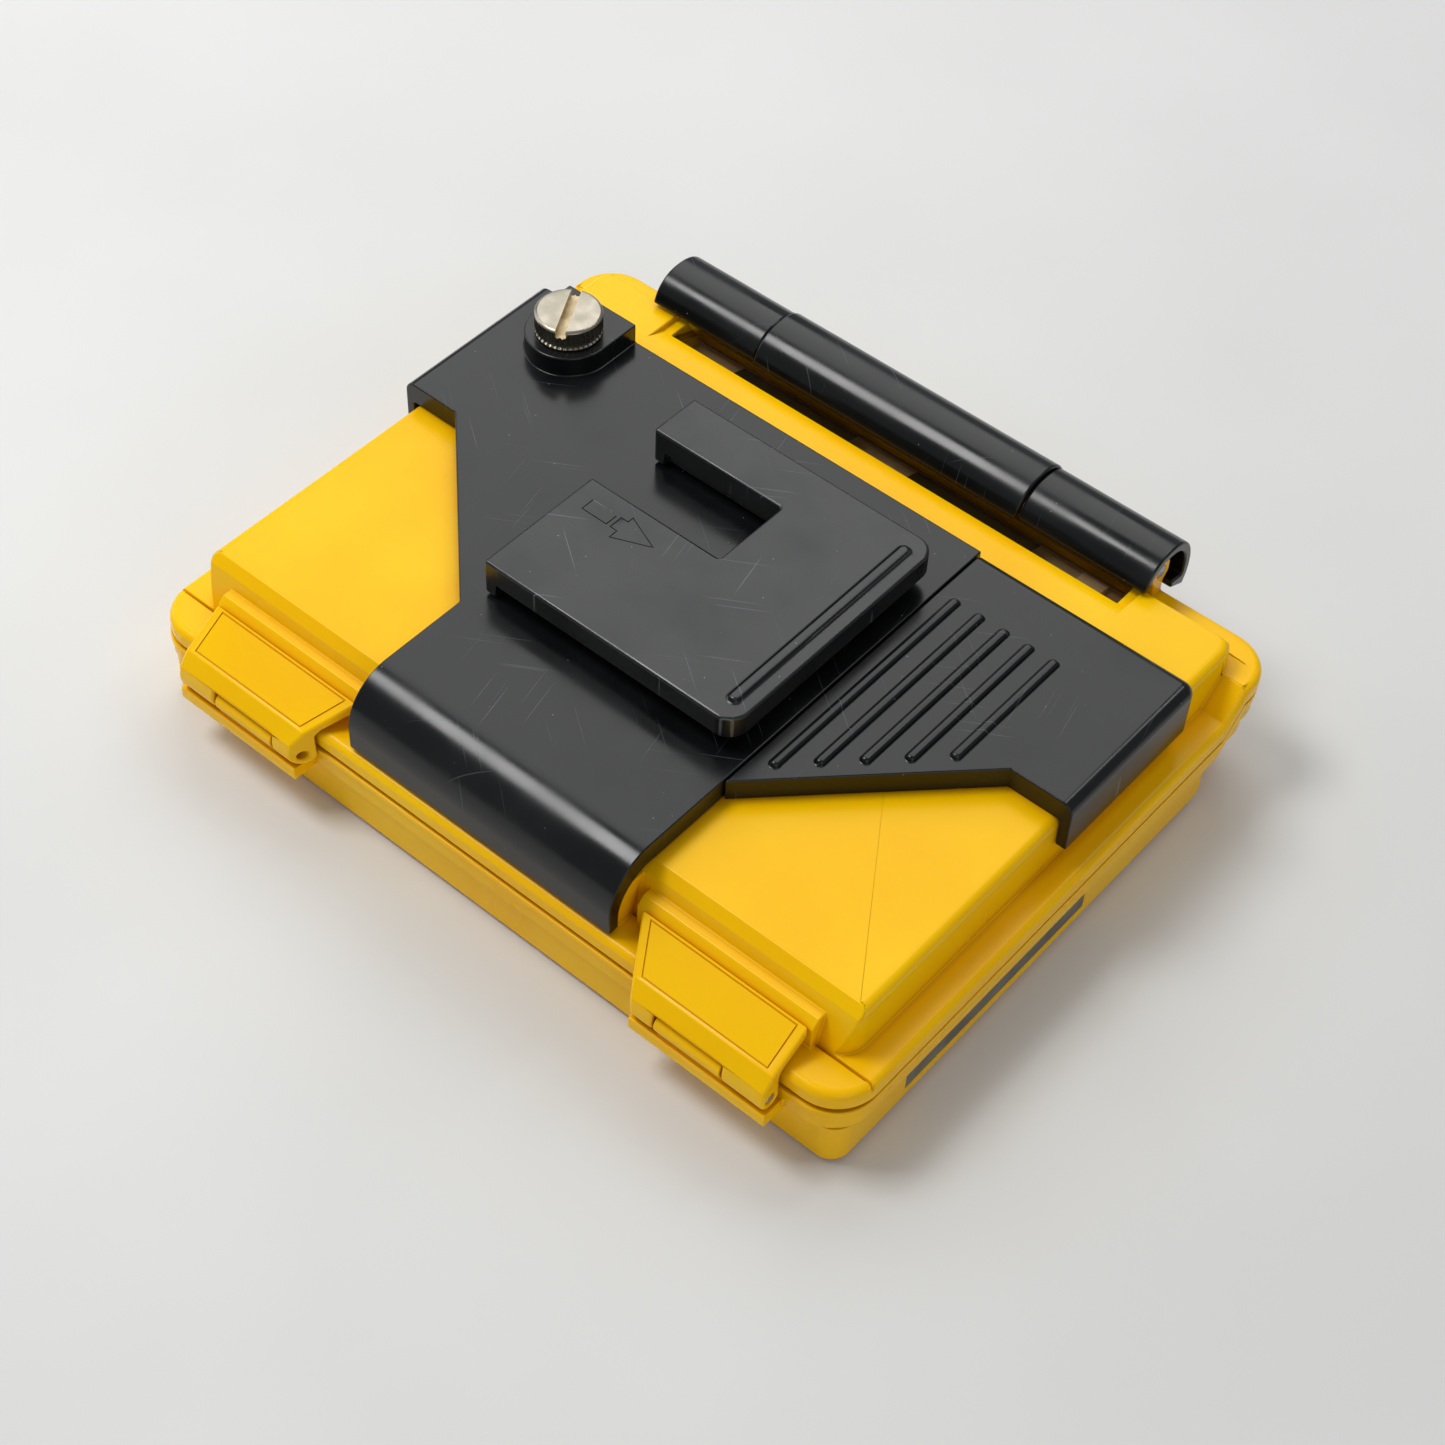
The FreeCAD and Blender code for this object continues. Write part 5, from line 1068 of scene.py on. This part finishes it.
@dataclass
class HingeBar:
    """The black bar over the hinge and the dial strip below it.

    A turn is an angle of the section in degrees. Each strip on the dial has a name, a finish, its left and
    right end, and its near and far side on the pane's slope.
    """

    bevel: float = 0.3
    middle: tuple[float, float] = (44.7, 21.6)
    half_deep: float = 6.0
    half_tall: float = 6.45
    skin: float = 1.4
    power: float = 2.25
    swell: float = 0.5
    front_turn: float = -16.0
    outer_turn: float = 161.7
    inner_turn: float = 155.6
    steps: int = 34
    hook: tuple[tuple[float, float], ...] = ((46.6, 20.47), (46.6, 19.35), (49.8, 17.8))
    lengths: tuple[tuple[str, float, float], ...] = (
        ("left", -45.4, -26.2), ("centre", -26.0, 21.0), ("right", 21.2, 42.4),
    )
    pin_bevel: float = 0.2
    dial_bevel: float = 0.1
    pane_front: tuple[float, float] = (36.75, 21.18)
    pane_rear: tuple[float, float] = (43.2, 18.97)
    strip_foot: float = -0.09
    strip_top: float = -0.04
    strips: tuple[tuple[str, Finish, float, float, float, float], ...] = (
        ("dial_bar_low", PRINT, -29.0, -7.7, 0.9, 4.3),
        ("dial_bar_high", PRINT, 3.0, 24.6, 0.9, 4.3),
        # The warm line is a painted reflection of the yellow rim in the pane.
        ("dial_rim_reflection", RIM_REFLECTION, -38.4, 38.4, 4.5, 5.0),
    )

    def build(self) -> Iterator[Piece]:
        """Make and dress the bar's three lengths, the pin and the dial.

        Yields:
            Each finished piece.
        """
        along_x = np.array([[0, 1, 0], [0, 0, 1], [1, 0, 0]])
        for part, left, right in self.lengths:
            outline = self.section(self.swell if part == "centre" else 0.0)
            piece = prism("bar_" + part, outline, left, right, along_x)
            weigh_edges(piece.data)
            shade_smooth(piece.data, SHARP)
            round_off(piece, self.bevel)
            yield dress(piece, BLACK, Body.CASE, "black_cover", "hinge_cover_" + part)
        pin = softened("hinge_pin", "pin_rod", self.pin_bevel)
        yield dress(pin, STEEL, Body.CASE, "bright_steel", "hinge_pin")
        pane = softened("dial_window", "dial_pane", self.dial_bevel)
        yield dress(pane, SMOKED, Body.CASE, "smoked_pane", "dial_window")
        card = softened("dial_plate", "dial_card", 0.0)
        yield dress(card, CARD, Body.CASE, "dial_card", "dial_plate")
        yield from self.marks()
        flag = softened("dial_pointer", "dial_flag", self.dial_bevel)
        yield dress(flag, TAN, Body.POINTER, "tan_pointer", "dial_pointer")

    def section(self, swell: float) -> np.ndarray:
        """Draw the bar's C shaped section, open below, with a hook at the rear.

        At angle t the skin lies at middle + (a * c(t), b * s(t)), where c and s are the cosine and the sine
        of t with their sizes raised to 2 / power, and a and b are the half depth and half height, less the
        skin inside.

        Args:
            swell: How much thicker this length is at its front and top, in millimetres.

        Returns:
            The outline in Y and Z, counter-clockwise.
        """
        rings = []
        runs = ((0.0, self.front_turn, self.outer_turn), (self.skin, self.inner_turn, self.front_turn))
        for inset, first, last in runs:
            turn = np.radians(np.linspace(first, last, self.steps))
            across, up = (
                np.sign(wave) * np.abs(wave) ** (2 / self.power) for wave in (np.cos(turn), np.sin(turn))
            )
            deep = np.where(across < 0, self.half_deep + swell, self.half_deep) - inset
            tall = self.half_tall + swell - inset
            rings.append(np.column_stack([self.middle[0] + deep * across, self.middle[1] + tall * up]))
        return np.concatenate([*rings, np.array(self.hook)])

    def marks(self) -> Iterator[Piece]:
        """Lay the dial's two dark bars and its painted reflection of the yellow rim, a thin warm line, just
        below the sloping pane.

        Yields:
            Each finished strip.
        """
        fall = (self.pane_rear[1] - self.pane_front[1]) / (self.pane_rear[0] - self.pane_front[0])
        run = math.hypot(1, fall)
        axes = np.array([[1, 0, 0], [0, 1 / run, fall / run], [0, -fall / run, 1 / run]])
        origin = (0, *self.pane_front)
        for name, finish, left, right, near_side, far_side in self.strips:
            loop = rectangle(left, right, near_side, far_side)
            strip = prism(name, loop, self.strip_foot, self.strip_top, axes, origin)
            yield dress(strip, finish, Body.CASE, "dial_card")


@dataclass
class InnerWorks:
    """Everything behind the lid and inside the case, and the controls of the side wall.

    Each finish has its material slot, and each node its finish and its edge radius in millimetres.
    """

    slots: dict[Finish, str] = field(default_factory=lambda: {
        ZINC: "zinc_deck", STEEL: "bright_steel", CELL: "cell_wrap", LAMINATE: "board_laminate",
        ACETAL: "white_acetal", WORKS_BLACK: "black_works", GREY: "grey_wheel", RUBBER: "black_rubber",
        BRASS: "turned_brass",
    })
    finishes: dict[str, tuple[Finish, float]] = field(default_factory=lambda: {
        "deck_plate": (ZINC, 0.15),
        "case_screws": (STEEL, 0.15),
        "battery_front": (CELL, 0.3),
        "battery_rear": (CELL, 0.3),
        "battery_contacts": (STEEL, 0.1),
        "circuit_board": (LAMINATE, 0.05),
        "tuning_capacitor": (ACETAL, 0.15),
        "volume_control": (WORKS_BLACK, 0.15),
        "tuning_knob": (GREY, 0.2),
        "volume_knob": (GREY, 0.2),
        **{"button_" + key: (GREY, 0.25) for key in ("play", "stop", "forward", "rewind")},
        "button_switches": (WORKS_BLACK, 0.1),
        "headphone_jack": (WORKS_BLACK, 0.15),
        "motor": (STEEL, 0.4),
        "motor_pulley": (BRASS, 0.1),
        "drive_belt": (RUBBER, 0.0),
        "flywheel": (BRASS, 0.2),
        "supply_reel": (ACETAL, 0.2),
        "takeup_reel": (ACETAL, 0.2),
        "head_bracket": (ZINC, 0.1),
        "tape_head": (STEEL, 0.4),
        "pinch_arm": (ACETAL, 0.15),
        "pinch_roller": (RUBBER, 0.2),
        "cassette_springs": (STEEL, 0.05),
        "latch_pins": (STEEL, 0.1),
        "retaining_ring": (STEEL, 0.05),
        "cover_seal": (RUBBER, 0.2),
        "screw_insert": (BRASS, 0.15),
    })

    def build(self) -> Iterator[Piece]:
        """Soften and dress each inner node.

        Yields:
            Each finished piece.
        """
        groups = frame["record"]["behaviour"]["bodies"]
        owner = {node: body for body, nodes in groups.items() for node in nodes}
        for node, (finish, bevel) in self.finishes.items():
            piece = softened(node, node + "_made", bevel)
            yield dress(piece, finish, owner[node], self.slots[finish], node)


@dataclass
class Studio:
    """The pale floor, the soft lights and the camera.

    Places are in millimetres. A lamp has a name, a place, a power in watts, and a width and height in metres.
    """

    eye: tuple[float, float, float] = (155.93, -195.56, 290.19)
    azimuth: float = 38.15
    elevation: float = 49.4
    roll: float = 3.0
    lens: float = 68.26
    sensor: float = 36.0
    nearest: float = 0.01
    paper: Finish = Finish("matt_paper", "#dcdcda", "#d8d8d6", 0.85, drift=80.0)
    floor_half: float = 1500.0
    floor_foot: float = -5.0
    floor_top: float = -0.02
    sky_colour: str = "#e8ebee"
    sky_strength: float = 0.32
    lamps: tuple[tuple[str, tuple[float, float, float], float, tuple[float, float]], ...] = (
        ("back_window", (-251, 320, 468), 1.25, (0.45, 0.45)),
        ("overhead_box", (-255, -153, 560), 1.9, (0.22, 0.22)),
        ("edge_strip", (105, 320, 515), 0.3, (0.1, 0.22)),
        ("window_left", (-480, -60, 250), 0.5, (0.3, 0.45)),
        ("window_right", (420, -260, 260), 0.4, (0.3, 0.45)),
    )

    def build(self) -> Iterator[Piece]:
        """Set the floor, the world, the lights and the camera.

        Yields:
            The floor, each lamp and the camera.
        """
        yield self.floor()
        self.world()
        for name, place, power, size in self.lamps:
            yield self.light(name, place, power, size)
        yield self.camera()
        bpy.context.scene.view_settings.view_transform = "Standard"

    def floor(self) -> Piece:
        """Lay the floor: a wide flat square, far larger than the view.

        Returns:
            The floor.
        """
        half = self.floor_half
        plane = prism("floor", rectangle(-half, half, -half, half), self.floor_foot, self.floor_top)
        plane.data.materials.append(self.paper.material())
        return plane

    def world(self) -> None:
        """Light the room evenly with a pale sky."""
        world = bpy.data.worlds.new("room")
        bpy.context.scene.world = world
        world.use_nodes = True
        back = world.node_tree.nodes["Background"]
        back.inputs["Color"].default_value = linear(self.sky_colour)
        back.inputs["Strength"].default_value = self.sky_strength

    def light(
        self, name: str, place: tuple[float, float, float], power: float, size: tuple[float, float],
    ) -> Piece:
        """Hang one soft box that faces the object.

        Args:
            name: The lamp's name.
            place: Its place in millimetres.
            power: Its strength in watts.
            size: Its width and height in metres.

        Returns:
            The lamp.
        """
        lamp = bpy.data.lights.new(name, "AREA")
        lamp.shape = "RECTANGLE"
        lamp.size, lamp.size_y = size
        lamp.energy = power
        hung = new_object(name, lamp)
        hung.location = Vector(place) * MM
        hung.rotation_euler = (-Vector(place)).to_track_quat("-Z", "Y").to_euler()
        return hung

    def camera(self) -> Piece:
        """Aim the camera by its azimuth, elevation and roll.

        Returns:
            The camera.
        """
        turn, rise, lean = (math.radians(angle) for angle in (self.azimuth, self.elevation, self.roll))
        back = Vector((math.sin(turn) * math.cos(rise), -math.cos(turn) * math.cos(rise), math.sin(rise)))
        level = Vector((math.cos(turn), math.sin(turn), 0))
        upright = back.cross(level)
        right = level * math.cos(lean) + upright * math.sin(lean)
        up = upright * math.cos(lean) - level * math.sin(lean)
        basis = Matrix((right, up, back)).transposed().to_4x4()
        lens = bpy.data.cameras.new("view")
        lens.lens = self.lens
        lens.sensor_width = self.sensor
        lens.clip_start = self.nearest
        seen = new_object("view", lens)
        seen.matrix_world = Matrix.Translation(Vector(self.eye) * MM) @ basis
        bpy.context.scene.camera = seen
        return seen


def main() -> None:
    """Build every sub-assembly in order and report each piece."""
    logging.basicConfig(level=logging.INFO, format="%(message)s")
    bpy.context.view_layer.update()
    for part in (Shells(), Latches(), BlackCovers(), CoinScrew(), HingeBar(), InnerWorks(), Studio()):
        for piece in part.build():
            LOG.info("%s: %s", type(part).__name__, piece.name)


if __name__ == "__main__":
    main()
